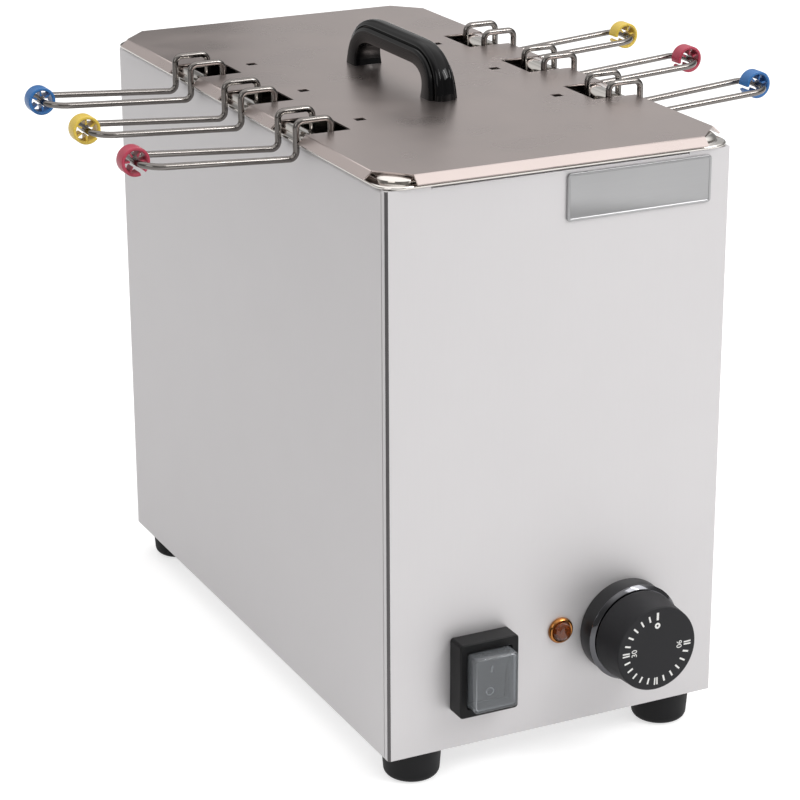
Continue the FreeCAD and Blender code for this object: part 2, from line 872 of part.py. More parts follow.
def make_tank():
    """Water tank hung by a raised, rounded rim on the top of the housing."""
    body = new_body("water_tank")
    rim_x = half_width + n.rim_overhang
    rim_y = half_depth + n.rim_overhang
    out_x = tank_half_x + n.tank_sheet
    out_y = tank_half_y + n.tank_sheet
    pad_soft(body, "rim_block", "XY_Plane", top, n.rim_height,
             round_rectangle(rim_x, rim_y, n.rim_corner))
    pad_soft(body, "tank_block", "XY_Plane", tank_floor, n.tank_depth,
             round_rectangle(out_x, out_y, n.tank_corner))
    cut_soft(body, "tank_hollow", "XY_Plane", tank_floor + n.tank_sheet,
             n.rim_height + n.tank_depth - n.tank_sheet + n.overrun,
             round_rectangle(tank_half_x, tank_half_y, n.tank_corner - n.tank_sheet))
    soften(body, "inner_floor_bend", n.tank_floor_edge - n.tank_sheet,
           lambda e: level(e, 2, tank_floor + n.tank_sheet), "Chamfer")
    soften(body, "tank_floor_bend", n.tank_floor_edge,
           lambda e: level(e, 2, tank_floor), "Chamfer")
    roof = top + n.rim_height
    soften(body, "rim_outer_round", n.rim_round,
           lambda e: level(e, 2, roof) and outside_tank(e))
    soften(body, "rim_inner_round", n.rim_inner_round,
           lambda e: level(e, 2, roof) and not outside_tank(e), "Chamfer")
    near = n.tank_sheet * 2
    cut_soft(body, "rim_underside", "XY_Plane", top - n.overrun,
             n.overrun + n.rim_height - near,
             round_rectangle(rim_x - n.rim_lip, rim_y - n.rim_lip, n.rim_corner - n.rim_lip),
             round_rectangle(out_x + near / 2, out_y + near / 2, n.tank_corner + near / 2))
    sides = whole(n.hole_sides)
    pad(body, "clamp_studs", "XY_Plane", clamp_base, tank_floor - clamp_base,
        many_sided(stud_x, stud_y, n.screw_radius, sides),
        many_sided(-stud_x, -stud_y, n.screw_radius, sides))


def outside_tank(edge):
    """True where an edge of the rim reaches past the walls of the tank."""
    box = edge.BoundBox
    reach_x, reach_y = float(tank_half_x) + NEAR, float(tank_half_y) + NEAR
    return max(abs(box.XMin), abs(box.XMax)) > reach_x or max(abs(box.YMin), abs(box.YMax)) > reach_y


def make_heater():
    """Tube element pressed to the tank floor by a plate on two studs."""
    w, length, tail = (float(v) for v in (element_half_x, element_half_y, n.element_tail))
    z = float(element_z)
    vector = FreeCAD.Vector
    path = [
        vector(-w, -length, z - tail), vector(-w, -length, z), vector(-w, length, z),
        vector(w, length, z), vector(w, -length, z), vector(w, -length, z - tail),
    ]
    shaped("heating_element", bent_wire(path, float(n.element_radius), float(n.element_bend),
                                        whole(n.element_steps), whole(n.pipe_sides)))
    body = new_body("element_clamp_plate")
    clamp_x = tank_half_x - n.clamp_inset_x
    clamp_y = tank_half_y - n.clamp_inset_y
    pad(body, "clamp", "XY_Plane", clamp_base, n.clamp_sheet,
        rectangle(-clamp_x, clamp_x, -clamp_y, clamp_y))
    drill(body, "clamp_holes", "XY_Plane", clamp_base - n.overrun, n.overrun * 2,
          (stud_x, stud_y, n.screw_radius + n.fit_gap),
          (-stud_x, -stud_y, n.screw_radius + n.fit_gap))
    nuts = [hexagon("clamp_nut", n.nut_radius, n.nut_height, "down", x, y, clamp_base)
            for x, y in ((stud_x, stud_y), (-stud_x, -stud_y))]
    group("element_clamp_nuts", *nuts)


def make_controls_inside():
    """Thermostat with its bulb and capillary, safety cut-out, terminals and earth stud."""
    inside = front + n.sheet
    body = new_body("thermostat_body")
    pad(body, "case", "XZ_Plane", -(inside + n.thermostat_depth), n.thermostat_depth,
        rectangle(n.knob_x - n.thermostat_width / 2, n.knob_x + n.thermostat_width / 2,
                  knob_z - n.thermostat_height / 2, knob_z + n.thermostat_height / 2))
    pad(body, "bushing", "XZ_Plane", -inside, n.shaft_bushing_length,
        many_sided(n.knob_x, knob_z, n.shaft_bushing_radius, whole(n.hole_sides)))
    drill(body, "bushing_bore", "XZ_Plane", -(inside + n.thermostat_depth / 2),
          n.thermostat_depth / 2 + n.shaft_bushing_length + n.overrun,
          (n.knob_x, knob_z, n.shaft_radius + n.fit_gap))
    blank = hexagon("thermostat_nut_blank", n.thermostat_nut_radius, n.thermostat_nut_height,
                    "front", n.knob_x, front, knob_z)
    eye = bar("thermostat_nut_eye", n.hole_sides, n.shaft_bushing_radius, n.nut_height,
              "front", n.knob_x, front + n.sheet / 2, knob_z)
    keep(less("thermostat_nut", blank, eye), "thermostat_nut")

    bulb_y = -n.bulb_length / 2
    bulb_z = tank_floor - n.bulb_radius - n.fit_gap
    bulb = bar("bulb", n.tube_sides, n.bulb_radius, n.bulb_length, "back", zero, bulb_y, bulb_z)
    vector = FreeCAD.Vector
    tail_y = float(inside + n.thermostat_depth)
    lead_y = tail_y + float(n.capillary_lead)
    path = [
        vector(float(n.knob_x), tail_y, float(knob_z)),
        vector(float(n.knob_x), lead_y, float(knob_z)),
        vector(float(n.knob_x), lead_y, float(bulb_z)),
        vector(0, lead_y, float(bulb_z)),
        vector(0, float(bulb_y), float(bulb_z)),
    ]
    shaped("capillary_tube", bent_wire(path, float(n.capillary_radius), float(n.capillary_bend),
                                       whole(n.capillary_steps), whole(n.pipe_sides)))
    keep(bulb, "thermostat_bulb")
    clip = new_body("bulb_clip")
    half = n.bulb_radius + n.fit_gap + n.sheet
    low = bulb_z - half
    tongue = n.bulb_clip_width / 2
    high = tank_floor - n.fit_gap
    pad(clip, "clip_form", "XZ_Plane", -tongue, n.bulb_clip_width, [
        (-half * 2, high - n.sheet), (-half, high - n.sheet), (-half, low), (half, low),
        (half, high - n.sheet), (half * 2, high - n.sheet), (half * 2, high),
        (half - n.sheet, high), (half - n.sheet, low + n.sheet),
        (n.sheet - half, low + n.sheet), (n.sheet - half, high), (-half * 2, high),
    ])
    cutout = bar("cutout_can", n.tube_sides, n.cutout_radius, n.cutout_height, "down",
                 zero, tank_half_y - n.cutout_from_end, tank_floor - n.fit_gap)
    keep(cutout, "safety_cutout")

    block_body = new_body("terminal_block")
    half_long, half_wide = n.terminal_length / 2, n.terminal_width / 2
    y = half_depth - n.terminal_from_back
    pad(block_body, "terminal_form", "XY_Plane", plate_top, n.terminal_height,
        rectangle(-half_long, half_long, y - half_wide, y + half_wide))
    pole, well = n.terminal_pitch, n.terminal_well / 2
    wells = [rectangle(x - well, x + well, y - well, y + well) for x in (-pole, zero, pole)]
    cut(block_body, "terminal_wells", "XY_Plane", plate_top + n.terminal_height / 2,
        n.terminal_height, *wells)


def make_gland():
    """Cable gland in the back: threaded body with its cap outside and nut inside."""
    body = new_body("cable_gland")
    cap = n.gland_cap_height
    pad(body, "gland_collar", "XZ_Plane", -(half_depth + n.gland_hex_height),
        n.gland_hex_height, many_sided(gland_x, gland_z, n.gland_hex_radius, whole(n.hex_sides)))
    pad(body, "gland_cap", "XZ_Plane", -(half_depth + n.gland_hex_height + cap), cap,
        many_sided(gland_x, gland_z, n.gland_cap_radius, whole(n.round_sides)))
    pad(body, "gland_thread", "XZ_Plane", -half_depth, n.gland_tail,
        many_sided(gland_x, gland_z, n.gland_thread_radius, whole(n.hole_sides)))
    soften(body, "gland_cap_bevel", n.bend_inside,
           lambda e: level(e, 1, half_depth + n.gland_hex_height + cap), "Chamfer")
    pad(body, "gland_nut", "XZ_Plane", n.sheet - half_depth, n.nut_height,
        many_sided(gland_x, gland_z, n.gland_hex_radius, whole(n.hex_sides)))
    bore(body, "gland_bore", "XZ_Plane", -(half_depth + n.gland_hex_height + cap + n.overrun),
         n.gland_hex_height + cap + n.gland_tail + n.overrun * 2,
         (gland_x, gland_z, n.gland_bore_radius))


def make_switch():
    """Rocker switch with a thick frame and a clear splash cap over its rocker."""
    x, z = n.switch_x, switch_z
    half_w, half_h = n.switch_width / 2, n.switch_height / 2
    open_w, open_h = n.switch_window_width / 2, n.switch_window_height / 2
    body = new_body("switch_frame")
    pad(body, "frame_form", "XZ_Plane", half_depth, n.switch_frame_depth,
        rectangle(x - half_w, x + half_w, z - half_h, z + half_h))
    soften(body, "frame_corners", n.bend_inside / 2,
           lambda e: e.BoundBox.YLength > float(n.switch_frame_depth) - NEAR)
    soften(body, "frame_face_edge", n.cap_sheet,
           lambda e: level(e, 1, front - n.switch_frame_depth), "Chamfer")
    cut(body, "frame_window", "XZ_Plane", half_depth - n.overrun,
        n.switch_frame_depth + n.overrun * 2,
        rectangle(x - open_w, x + open_w, z - open_h, z + open_h))

    gap = n.running_gap
    cap_w, cap_h = open_w - gap, open_h - gap
    cap_back = half_depth + n.switch_frame_depth - n.cap_seat
    cap = new_body("switch_cap")
    cap_length = n.cap_seat + n.cap_reach
    pad(cap, "cap_form", "XZ_Plane", cap_back, cap_length,
        rectangle(x - cap_w, x + cap_w, z - cap_h, z + cap_h))
    soften(cap, "cap_corners", n.cap_round,
           lambda e: e.BoundBox.YLength > float(cap_length) - NEAR)
    soften(cap, "cap_face_edge", n.cap_sheet / 2,
           lambda e: level(e, 1, -(cap_back + cap_length)), "Chamfer")
    in_w, in_h = cap_w - n.cap_sheet, cap_h - n.cap_sheet
    cut(cap, "cap_hollow", "XZ_Plane", cap_back - n.overrun,
        cap_length + n.overrun - n.cap_sheet,
        rectangle(x - in_w, x + in_w, z - in_h, z + in_h))

    housing = new_body("switch_housing")
    face = half_depth + n.switch_frame_depth - n.switch_housing_setback
    house_w, house_h = open_w - n.fit_gap, open_h - n.fit_gap
    pad(housing, "housing_form", "XZ_Plane", face - n.switch_housing_depth,
        n.switch_housing_depth,
        rectangle(x - house_w, x + house_w, z - house_h, z + house_h))
    well_w = n.rocker_half_width + n.rocker_side_gap
    well_h = n.rocker_half_height + n.rocker_side_gap * 2
    cut(housing, "rocker_well", "XZ_Plane", face - n.rocker_well, n.rocker_well + n.overrun,
        rectangle(x - well_w, x + well_w, z - well_h, z + well_h))

    pivot_y = n.rocker_pivot_depth - face
    reach = n.rocker_half_width + n.rocker_pin_reach
    socket = n.rocker_pin_radius + n.fit_gap
    drill(housing, "pin_sockets", "YZ_Plane", x - reach - n.fit_gap,
          (reach + n.fit_gap) * 2, (pivot_y, z, socket))

    rocker = new_body("rocker")
    tall, root = n.rocker_half_height, n.rocker_root_half
    pad(rocker, "rocker_form", "YZ_Plane", -n.rocker_half_width, n.rocker_half_width * 2, [
        (-n.rocker_face, tall), (-n.rocker_dip, zero), (-n.rocker_face, -tall),
        (-n.rocker_shoulder, -tall), (n.rocker_root, -root), (n.rocker_root, root),
        (-n.rocker_shoulder, tall),
    ])
    pad_disc(rocker, "rocker_pin", "YZ_Plane", -reach, reach * 2,
             (zero, zero, n.rocker_pin_radius))
    rocker.Placement = FreeCAD.Placement(
        FreeCAD.Vector(), FreeCAD.Rotation(FreeCAD.Vector(1, 0, 0), float(n.rocker_tilt)))
    bind(rocker, "Placement.Rotation.Angle", n.rocker_tilt)
    place(rocker, x, pivot_y, z)


def make_lamp():
    """Pilot lamp: a faceted-looking amber lens with its body behind the panel."""
    lens = new_body("lamp_lens")
    deep = n.lamp_collar + n.lamp_dome
    pad(lens, "lens_form", "XZ_Plane", half_depth, deep,
        many_sided(n.lamp_x, lamp_z, n.lamp_radius, whole(n.round_sides)))
    soften(lens, "lens_bevel", n.lamp_dome, lambda e: level(e, 1, front - deep), "Chamfer")
    holder = bar("lamp_holder", n.tube_sides, n.lamp_body_radius, n.lamp_body_length, "back",
                 n.lamp_x, front, lamp_z)
    keep(holder, "lamp_body")


def make_knob():
    """Thermostat knob behind a fixed bezel with a bright trim ring, on its own shaft."""
    deep = n.bezel_depth
    bezel = new_body("knob_bezel")
    pad_disc(bezel, "bezel_form", "XZ_Plane", half_depth, deep,
             (n.knob_x, knob_z, n.bezel_radius))
    eye = n.shaft_bushing_radius + n.fit_gap
    drill(bezel, "bezel_eye", "XZ_Plane", half_depth - n.overrun, deep + n.overrun * 2,
          (n.knob_x, knob_z, eye))
    drill(bezel, "nut_well", "XZ_Plane", half_depth - n.overrun, n.nut_height + n.overrun,
          (n.knob_x, knob_z, n.thermostat_nut_radius + n.running_gap))

    trim = new_body("knob_trim_ring")
    pad_disc(trim, "trim_form", "XZ_Plane", half_depth + deep, n.trim_thickness,
             (n.knob_x, knob_z, n.trim_radius))
    drill(trim, "trim_eye", "XZ_Plane", half_depth, deep * 2, (n.knob_x, knob_z, eye))

    back_y = front - knob_reach + n.knob_length
    knob = new_body("knob")
    face = n.knob_length
    pad_disc(knob, "knob_form", "XY_Plane", zero, face, (zero, zero, n.knob_radius))
    soften(knob, "knob_face_bevel", n.knob_bevel, lambda e: level(e, 2, face), "Chamfer")
    drill(knob, "shaft_socket", "XY_Plane", -n.overrun, n.overrun + n.knob_bore_depth,
          (zero, zero, n.shaft_radius))
    low = n.pointer_radius - n.pointer_length / 2
    cut(knob, "pointer_mark", "XY_Plane", face - n.pointer_depth, n.overrun,
        rectangle(-n.pointer_width / 2, n.pointer_width / 2, low, low + n.pointer_length))
    knob.Placement = FreeCAD.Placement(FreeCAD.Vector(), ALONG["front"])
    place(knob, n.knob_x, back_y, knob_z)

    inside = front + n.sheet + n.thermostat_depth / 2
    tip = back_y - n.knob_bore_depth
    shaft = rod("shaft_form", n.shaft_radius, inside - tip - n.fit_gap, "front",
                n.knob_x, inside - n.fit_gap, knob_z)
    keep(shaft, "thermostat_shaft")


def make_badge():
    """Plain plate with a raised border near the top right of the front."""
    body = new_body("badge_plate")
    half_w, half_h = n.badge_width / 2, n.badge_height / 2
    x, z = half_width - n.badge_inset - half_w, top - n.badge_below_top
    pad(body, "badge_form", "XZ_Plane", half_depth, n.badge_sheet,
        rectangle(x - half_w, x + half_w, z - half_h, z + half_h))
    soften(body, "badge_bevel", n.badge_edge,
           lambda e: level(e, 1, front - n.badge_sheet), "Chamfer")
    in_w, in_h = half_w - n.badge_border, half_h - n.badge_border
    cut(body, "badge_field", "XZ_Plane", half_depth + n.badge_sheet - n.badge_recess, n.overrun,
        rectangle(x - in_w, x + in_w, z - in_h, z + in_h))


def make_lid():
    """Lid plate with bevelled corners, sloped edge flanges and six open notches."""
    body = new_body("lid_plate")
    x, y = lid_half_x, lid_half_y
    cx, cy = x - n.lid_corner_x, y - n.lid_corner_y
    pad(body, "lid_flat", "XY_Plane", lid_under, n.lid_sheet, [
        (-cx, -y), (cx, -y), (x, -cy), (x, cy), (cx, y), (-cx, y), (-x, cy), (-x, -cy),
    ])
    roof = lid_under + n.lid_sheet
    out, down, t = n.lid_flange_out, n.lid_flange_down, n.lid_sheet
    side = pad(body, "side_flange", "XZ_Plane", -cy, cy * 2, [
        (x - t, roof), (x, roof), (x + out, roof - down), (x + out - t, roof - down - n.lid_flange_tip),
        (x - t, roof - t),
    ])
    mirror(body, "side_flanges", side, "YZ_Plane")
    end = pad(body, "end_flange", "YZ_Plane", -cx, cx * 2, [
        (y - t, roof), (y, roof), (y + out, roof - down), (y + out - t, roof - down - n.lid_flange_tip),
        (y - t, roof - t),
    ])
    mirror(body, "end_flanges", end, "XZ_Plane")
    deep = roof - down - n.overrun
    first, rows = first_basket, whole(n.basket_rows)
    half = n.notch_length / 2
    notch = cut(body, "notch", "XY_Plane", deep, down + n.overrun * 2,
                rectangle(x - n.notch_depth, x + out + n.overrun, first - half, first + half),
                rectangle(-x - out - n.overrun, n.notch_depth - x, first - half, first + half))
    repeat(body, "notches", notch, "Y_Axis", n.basket_pitch, rows)
    h, vent_x = n.vent_hole / 2, x - n.notch_depth - n.vent_hole_gap
    vent = cut(body, "vent_hole", "XY_Plane", lid_under - n.overrun, n.overrun * 2 + t,
               rectangle(vent_x - h, vent_x + h, first - h, first + h),
               rectangle(-vent_x - h, h - vent_x, first - h, first + h))
    repeat(body, "vent_holes", vent, "Y_Axis", n.basket_pitch, rows)
    leg = n.handle_half_length - n.handle_leg / 2
    drill(body, "handle_holes", "XY_Plane", lid_under - n.overrun, n.overrun * 2 + t,
          (zero, leg, n.handle_screw_hole + n.fit_gap),
          (zero, -leg, n.handle_screw_hole + n.fit_gap))


def arch(half_length, high, bar, leg, base, outer_round):
    """Corners of a bridge shape over a base line: a bar on two legs."""
    inner = half_length - leg
    under = base + high - bar
    return [
        (-half_length, base, zero), (-inner, base, zero),
        (-inner, under, n.handle_inner_round), (inner, under, n.handle_inner_round),
        (inner, base, zero), (half_length, base, zero),
        (half_length, base + high, outer_round), (-half_length, base + high, outer_round),
    ]


def make_lid_handle():
    """Moulded bridge handle: wide sides with a narrower rounded crown along the back."""
    roof = lid_under + n.lid_sheet
    body = new_body("lid_handle")
    crown = n.handle_crown
    pad_soft(body, "crown_form", "YZ_Plane", -n.handle_crown_width / 2, n.handle_crown_width,
             arch(n.handle_half_length, n.handle_height, n.handle_bar, n.handle_leg, roof,
                  n.handle_outer_round))
    soften(body, "crown_edges", n.handle_crown_bevel,
           lambda e: (level(e, 0, n.handle_crown_width / 2)
                      or level(e, 0, -n.handle_crown_width / 2))
           and on_outside(e, roof), "Chamfer")
    pad_soft(body, "core_form", "YZ_Plane", -n.handle_width / 2, n.handle_width,
             arch(n.handle_half_length - crown, n.handle_height - crown, n.handle_bar - crown,
                  n.handle_leg - crown, roof, n.handle_outer_round - crown))
    leg = n.handle_half_length - n.handle_leg / 2
    drill(body, "screw_holes", "XY_Plane", roof - n.overrun, n.overrun + n.handle_screw_depth,
          (zero, leg, n.handle_screw_hole), (zero, -leg, n.handle_screw_hole))
    bolts = []
    for y in (leg, -leg):
        head = hexagon("lid_bolt_head", n.nut_radius, n.bolt_head, "down", zero, y, lid_under)
        shank = bar("lid_bolt_shank", n.hole_sides, n.handle_screw_hole,
                    n.lid_sheet + n.handle_screw_depth - n.fit_gap, "up", zero, y, lid_under)
        bolts.append(fuse("lid_bolt", head, shank))
    group("lid_handle_bolts", *bolts)


def on_outside(edge, roof):
    """True for an edge on the outer back of the bridge handle, not round its opening."""
    inner_y = float(n.handle_half_length - n.handle_leg)
    inner_z = float(roof + n.handle_height - n.handle_bar)
    box = edge.BoundBox
    wide = max(abs(box.YMin), abs(box.YMax)) > inner_y + NEAR
    flat_foot = box.ZLength < NEAR and abs(box.ZMin - float(roof)) < NEAR
    return not flat_foot and (wide or box.ZMin > inner_z + NEAR)


def basket_wire(side, y):
    """One unbroken wire: cage hanger, hook over the rim, handle loop and back again."""
    v = FreeCAD.Vector
    r = n.wire_radius
    outer_x = float(half_width + n.rim_overhang + n.running_gap + r)
    inner_x = float(tank_half_x - n.running_gap - r)
    hook_z = float(top + n.hook_rise)
    drop_z = float(top - n.handle_drop)
    grip_z = float(top + n.grip_rise)
    foot_z = float(tank_floor + n.tank_sheet + n.running_gap + n.cage_height - n.cage_band)
    near, wide = float(n.grip_spacing / 2), float(n.wire_spacing / 2)
    grip = float(grip_x)
    arm = [(inner_x, wide, foot_z), (inner_x, wide, hook_z), (outer_x, wide, hook_z),
           (outer_x, wide, drop_z), (grip, near, grip_z)]
    away = [v(side * px, y + py, pz) for px, py, pz in arm]
    home = [v(side * px, y - py, pz) for px, py, pz in reversed(arm)]
    return bent_wire(away + home, float(r), float(n.wire_bend), whole(n.wire_steps),
                     whole(n.wire_sides))


def basket_cage(name, side, y):
    """Egg cage: a band ring with two crossed strips bent under it."""
    base = tank_floor + n.tank_sheet + n.running_gap
    hanger_x = tank_half_x - n.running_gap - n.wire_radius
    reach = n.cage_radius + n.wire_radius
    apart = n.wire_spacing / 2
    centre_x = hanger_x - (reach * reach - apart * apart).root()
    body = new_body(name)
    rim = base + n.cage_height
    r, t = n.cage_radius, n.cage_sheet
    sides = whole(n.cage_sides)
    pad(body, "band", "XY_Plane", rim - n.cage_band, n.cage_band,
        many_sided(zero, zero, r, sides), many_sided(zero, zero, r - t, sides))
    low, high, half = base, rim - n.cage_strip_setback, r - t / 2
    bend = n.cage_bend
    turn_in = n.cage_sheet * math.tan(math.pi / 8)
    strip = [(-half, high), (-half, low + bend), (bend - half, low), (half - bend, low),
             (half, low + bend), (half, high), (half - t, high),
             (half - t, low + bend + turn_in), (half - bend - turn_in, low + t),
             (bend + turn_in - half, low + t), (t - half, low + bend + turn_in),
             (t - half, high)]
    pad(body, "strip_across", "XZ_Plane", -n.cage_strip / 2, n.cage_strip, strip)
    pad(body, "strip_along", "YZ_Plane", -n.cage_strip / 2, n.cage_strip, strip)
    place(body, centre_x * side, y, zero)


def basket_grip(name, side, y):
    """Coloured split ring that snaps over the end of the handle loop."""
    body = new_body(name)
    r, wall, half = n.grip_radius, n.grip_wall, n.grip_length / 2
    hub = n.grip_hub_radius
    eye = n.wire_radius + n.fit_gap
    sides, hub_sides = whole(n.grip_sides), whole(n.grip_hub_sides)
    pad(body, "rim", "XZ_Plane", -half, n.grip_length,
        many_sided(zero, zero, r, sides), many_sided(zero, zero, r - wall, sides))
    pad(body, "hub", "XZ_Plane", -half, n.grip_length,
        many_sided(zero, zero, hub, hub_sides), many_sided(zero, zero, eye, hub_sides))
    spoke = n.grip_spoke / 2
    clear = n.wire_radius + n.fit_gap * 2
    pad(body, "spokes", "XZ_Plane", -half, n.grip_length,
        rectangle(-spoke, spoke, clear, r - wall / 2), rectangle(-spoke, spoke, wall / 2 - r, -clear),
        rectangle(clear, r - wall / 2, -spoke, spoke))
    slot = n.grip_slot / 2
    cut(body, "split", "XZ_Plane", -half - n.overrun, n.grip_length + n.overrun * 2,
        rectangle(-r - n.overrun, zero, -slot, slot))
    facing_housing = 0 if side > 0 else 180
    turn = n.grip_slot_turn * -side + facing_housing
    body.Placement = FreeCAD.Placement(
        FreeCAD.Vector(), FreeCAD.Rotation(FreeCAD.Vector(0, 1, 0), float(turn)))
    bind(body, "Placement.Rotation.Angle", turn)
    place(body, grip_x * side, y + n.grip_shift, top + n.grip_rise)


def make_baskets():
    """Three baskets hook over each side of the tank."""
    for side_name, side in (("left", -1), ("right", 1)):
        for step, row_name in enumerate(("front", "middle", "rear")):
            y = first_basket + n.basket_pitch * step - n.basket_shift
            base = f"basket_{side_name}_{row_name}"
            shaped(f"{base}_wire", basket_wire(side, float(y)))
            basket_cage(f"{base}_cage", side, y)
            basket_grip(f"{base}_grip", side, y)


def main():
    """Build every piece, test it and write it out."""
    make_wrap()
    make_front_panel()
    make_bottom_plate()
    make_feet()
    make_screws()
    make_tank()
    make_heater()
    make_controls_inside()
    make_gland()
    make_switch()
    make_lamp()
    make_knob()
    make_badge()
    make_lid()
    make_lid_handle()
    make_baskets()
    document.recompute()
    for item in document.Objects:
        if "Invalid" in item.State or "Error" in item.State:
            raise ValueError(f"{item.Label} did not build: {item.State}")
    for node in nodes:
        shape = node.Shape
        if shape.isNull() or not shape.isValid() or not shape.Solids:
            raise ValueError(f"{node.Label} has no sound shape")
    os.makedirs("parts", exist_ok=True)
    for node in nodes:
        shape = node.Shape.copy()
        shape.translate(FreeCAD.Vector(0, float(set_back), 0))
        shape.exportStep(f"parts/{node.Label}.step")
    print(len(nodes), "pieces written")


main()
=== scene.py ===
"""Looks of a countertop egg boiler with six hook-on baskets, built around its fixed frame."""

import logging
import math
from collections.abc import Sequence
from dataclasses import dataclass, field
from enum import Enum

import bmesh
import bpy
from mathutils import Matrix, Vector


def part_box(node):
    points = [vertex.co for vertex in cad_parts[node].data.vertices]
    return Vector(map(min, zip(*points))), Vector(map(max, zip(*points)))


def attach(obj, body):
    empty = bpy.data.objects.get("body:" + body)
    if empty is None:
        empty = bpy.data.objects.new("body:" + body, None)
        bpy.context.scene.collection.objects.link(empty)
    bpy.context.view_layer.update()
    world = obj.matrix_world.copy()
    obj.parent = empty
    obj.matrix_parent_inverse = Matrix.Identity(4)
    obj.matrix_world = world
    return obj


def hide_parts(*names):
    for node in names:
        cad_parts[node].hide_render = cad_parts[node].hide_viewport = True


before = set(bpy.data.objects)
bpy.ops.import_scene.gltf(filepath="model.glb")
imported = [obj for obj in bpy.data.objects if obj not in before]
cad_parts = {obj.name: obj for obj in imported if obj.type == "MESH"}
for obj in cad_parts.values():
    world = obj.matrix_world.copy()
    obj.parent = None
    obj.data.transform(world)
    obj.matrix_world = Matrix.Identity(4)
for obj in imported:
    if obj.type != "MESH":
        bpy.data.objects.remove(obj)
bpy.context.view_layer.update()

log = logging.getLogger("egg_boiler")

MM = 0.001
SMOOTH_ANGLE = math.radians(38)
# Edges sharper than this stay sharp on the folded lid, the handle, a wire and the cut lens.
FOLD_ANGLE, HANDLE_ANGLE, WIRE_ANGLE, FACET_ANGLE = (math.radians(a) for a in (25, 28, 60, 8))
ROUND_STEPS = 96
BEND_STEPS = 8
CORNERS = ((1, 1, 0), (-1, 1, 90), (-1, -1, 180), (1, -1, 270))
# Stands up what is drawn flat, so that it faces the front.
UPRIGHT = Matrix.Rotation(math.radians(90), 4, "X")
# Width of the broad patches in which a surface is a little glossier or duller.
PATCH_MM = 30.0


def linear(code: str) -> tuple[float, float, float, float]:
    """Turn an sRGB hex colour into the linear colour that a shader reads.

    Args:
        code: six hex digits, with or without a leading mark.

    Returns:
        Red, green, blue and an alpha of one.
    """
    digits = code.lstrip("#")
    shares = [int(digits[i:i + 2], 16) / 255 for i in (0, 2, 4)]
    values = [s / 12.92 if s <= 0.04045 else ((s + 0.055) / 1.055) ** 2.4 for s in shares]
    return values[0], values[1], values[2], 1.0


def add_node(tree: bpy.types.NodeTree, kind: str, inputs: dict | None = None,
             **settings: object) -> bpy.types.Node:
    """Add one node with its settings, its fixed values and its links.

    Args:
        tree: the tree that the node joins.
        kind: the node's type name.
        inputs: socket name or index to a value, to the output that feeds it, or to a node
            whose first output does.
        settings: the node's own properties.

    Returns:
        The new node.
    """
    node = tree.nodes.new(kind)
    for key, value in settings.items():
        setattr(node, key, value)
    for key, value in (inputs or {}).items():
        feed = value.outputs[0] if isinstance(value, bpy.types.Node) else value
        if isinstance(feed, bpy.types.NodeSocket):
            tree.links.new(feed, node.inputs[key])
        else:
            node.inputs[key].default_value = feed
    return node


def new_object(name: str, data: bpy.types.ID) -> bpy.types.Object:
    """Make an object for some data and put it in the scene."""
    made = bpy.data.objects.new(name, data)
    bpy.context.scene.collection.objects.link(made)
    return made


class Grain(Enum):
    """The way in which a sheet was brushed or a part was drawn, as stretch along X, Y and Z."""

    ALONG_X = (0.02, 1.0, 1.0)
    ALONG_Y = (1.0, 0.02, 1.0)
    ALONG_Z = (1.0, 1.0, 0.02)
    NONE = (1.0, 1.0, 1.0)


@dataclass(frozen=True)
class Finish:
    """A surface under its common name, with the values that are the same all over it."""

    name: str
    colour: str
    roughness: float
    metallic: float = 0.0
    ior: float = 1.5
    grain: Grain = Grain.NONE
    grain_mm: float = 0.6
    shade_spread: float = 0.04
    rough_spread: float = 0.06
    bump_mm: float = 0.004
    transmission: float = 0.0

    def material(self) -> bpy.types.Material:
        """Give the finish's material, made at its first use."""
        return bpy.data.materials.get(self.name) or self.make()

    def make(self) -> bpy.types.Material:
        """Build the node tree: fine grain for bump and shade, broad patches for gloss."""
        material = bpy.data.materials.new(self.name)
        material.use_nodes = True
        tree = material.node_tree
        tree.nodes.clear()
        place = add_node(tree, "ShaderNodeTexCoord").outputs["Object"]
        stretched = add_node(tree, "ShaderNodeMapping", {"Vector": place, "Scale": self.grain.value})
        fine = add_node(tree, "ShaderNodeTexNoise", {
            "Vector": stretched, "Scale": 1 / (self.grain_mm * MM), "Detail": 3.0})
        patches = add_node(tree, "ShaderNodeTexNoise", {
            "Vector": place, "Scale": 1 / (PATCH_MM * MM), "Detail": 2.0})
        dark, light = ([min(v * (1 + way * self.shade_spread), 1.0) for v in linear(self.colour)[:3]]
                       + [1.0] for way in (-1, 1))
        shade = add_node(tree, "ShaderNodeMix", {0: fine, 6: dark, 7: light}, data_type="RGBA")
        gloss = add_node(tree, "ShaderNodeMapRange", {
            "Value": patches, "From Min": 0.3, "From Max": 0.7,
            "To Min": max(self.roughness - self.rough_spread, 0.02),
            "To Max": min(self.roughness + self.rough_spread, 1.0)})
        bump = add_node(tree, "ShaderNodeBump", {
            "Height": fine, "Distance": self.bump_mm * MM, "Strength": 1.0})
        shader = add_node(tree, "ShaderNodeBsdfPrincipled", {
            "Base Color": shade.outputs[2], "Roughness": gloss, "Normal": bump,
            "Metallic": self.metallic, "IOR": self.ior, "Transmission Weight": self.transmission})
        add_node(tree, "ShaderNodeOutputMaterial", {"Surface": shader})
        return material


# Cold-rolled stainless steel with a satin face: broad soft reflections, hardly any colour.
BODY_STEEL = Finish("satin_stainless_sheet", "#D7D5D6", 0.54, metallic=0.7, grain=Grain.ALONG_Z,
                    grain_mm=0.5, shade_spread=0.012, rough_spread=0.012, bump_mm=0.0005)
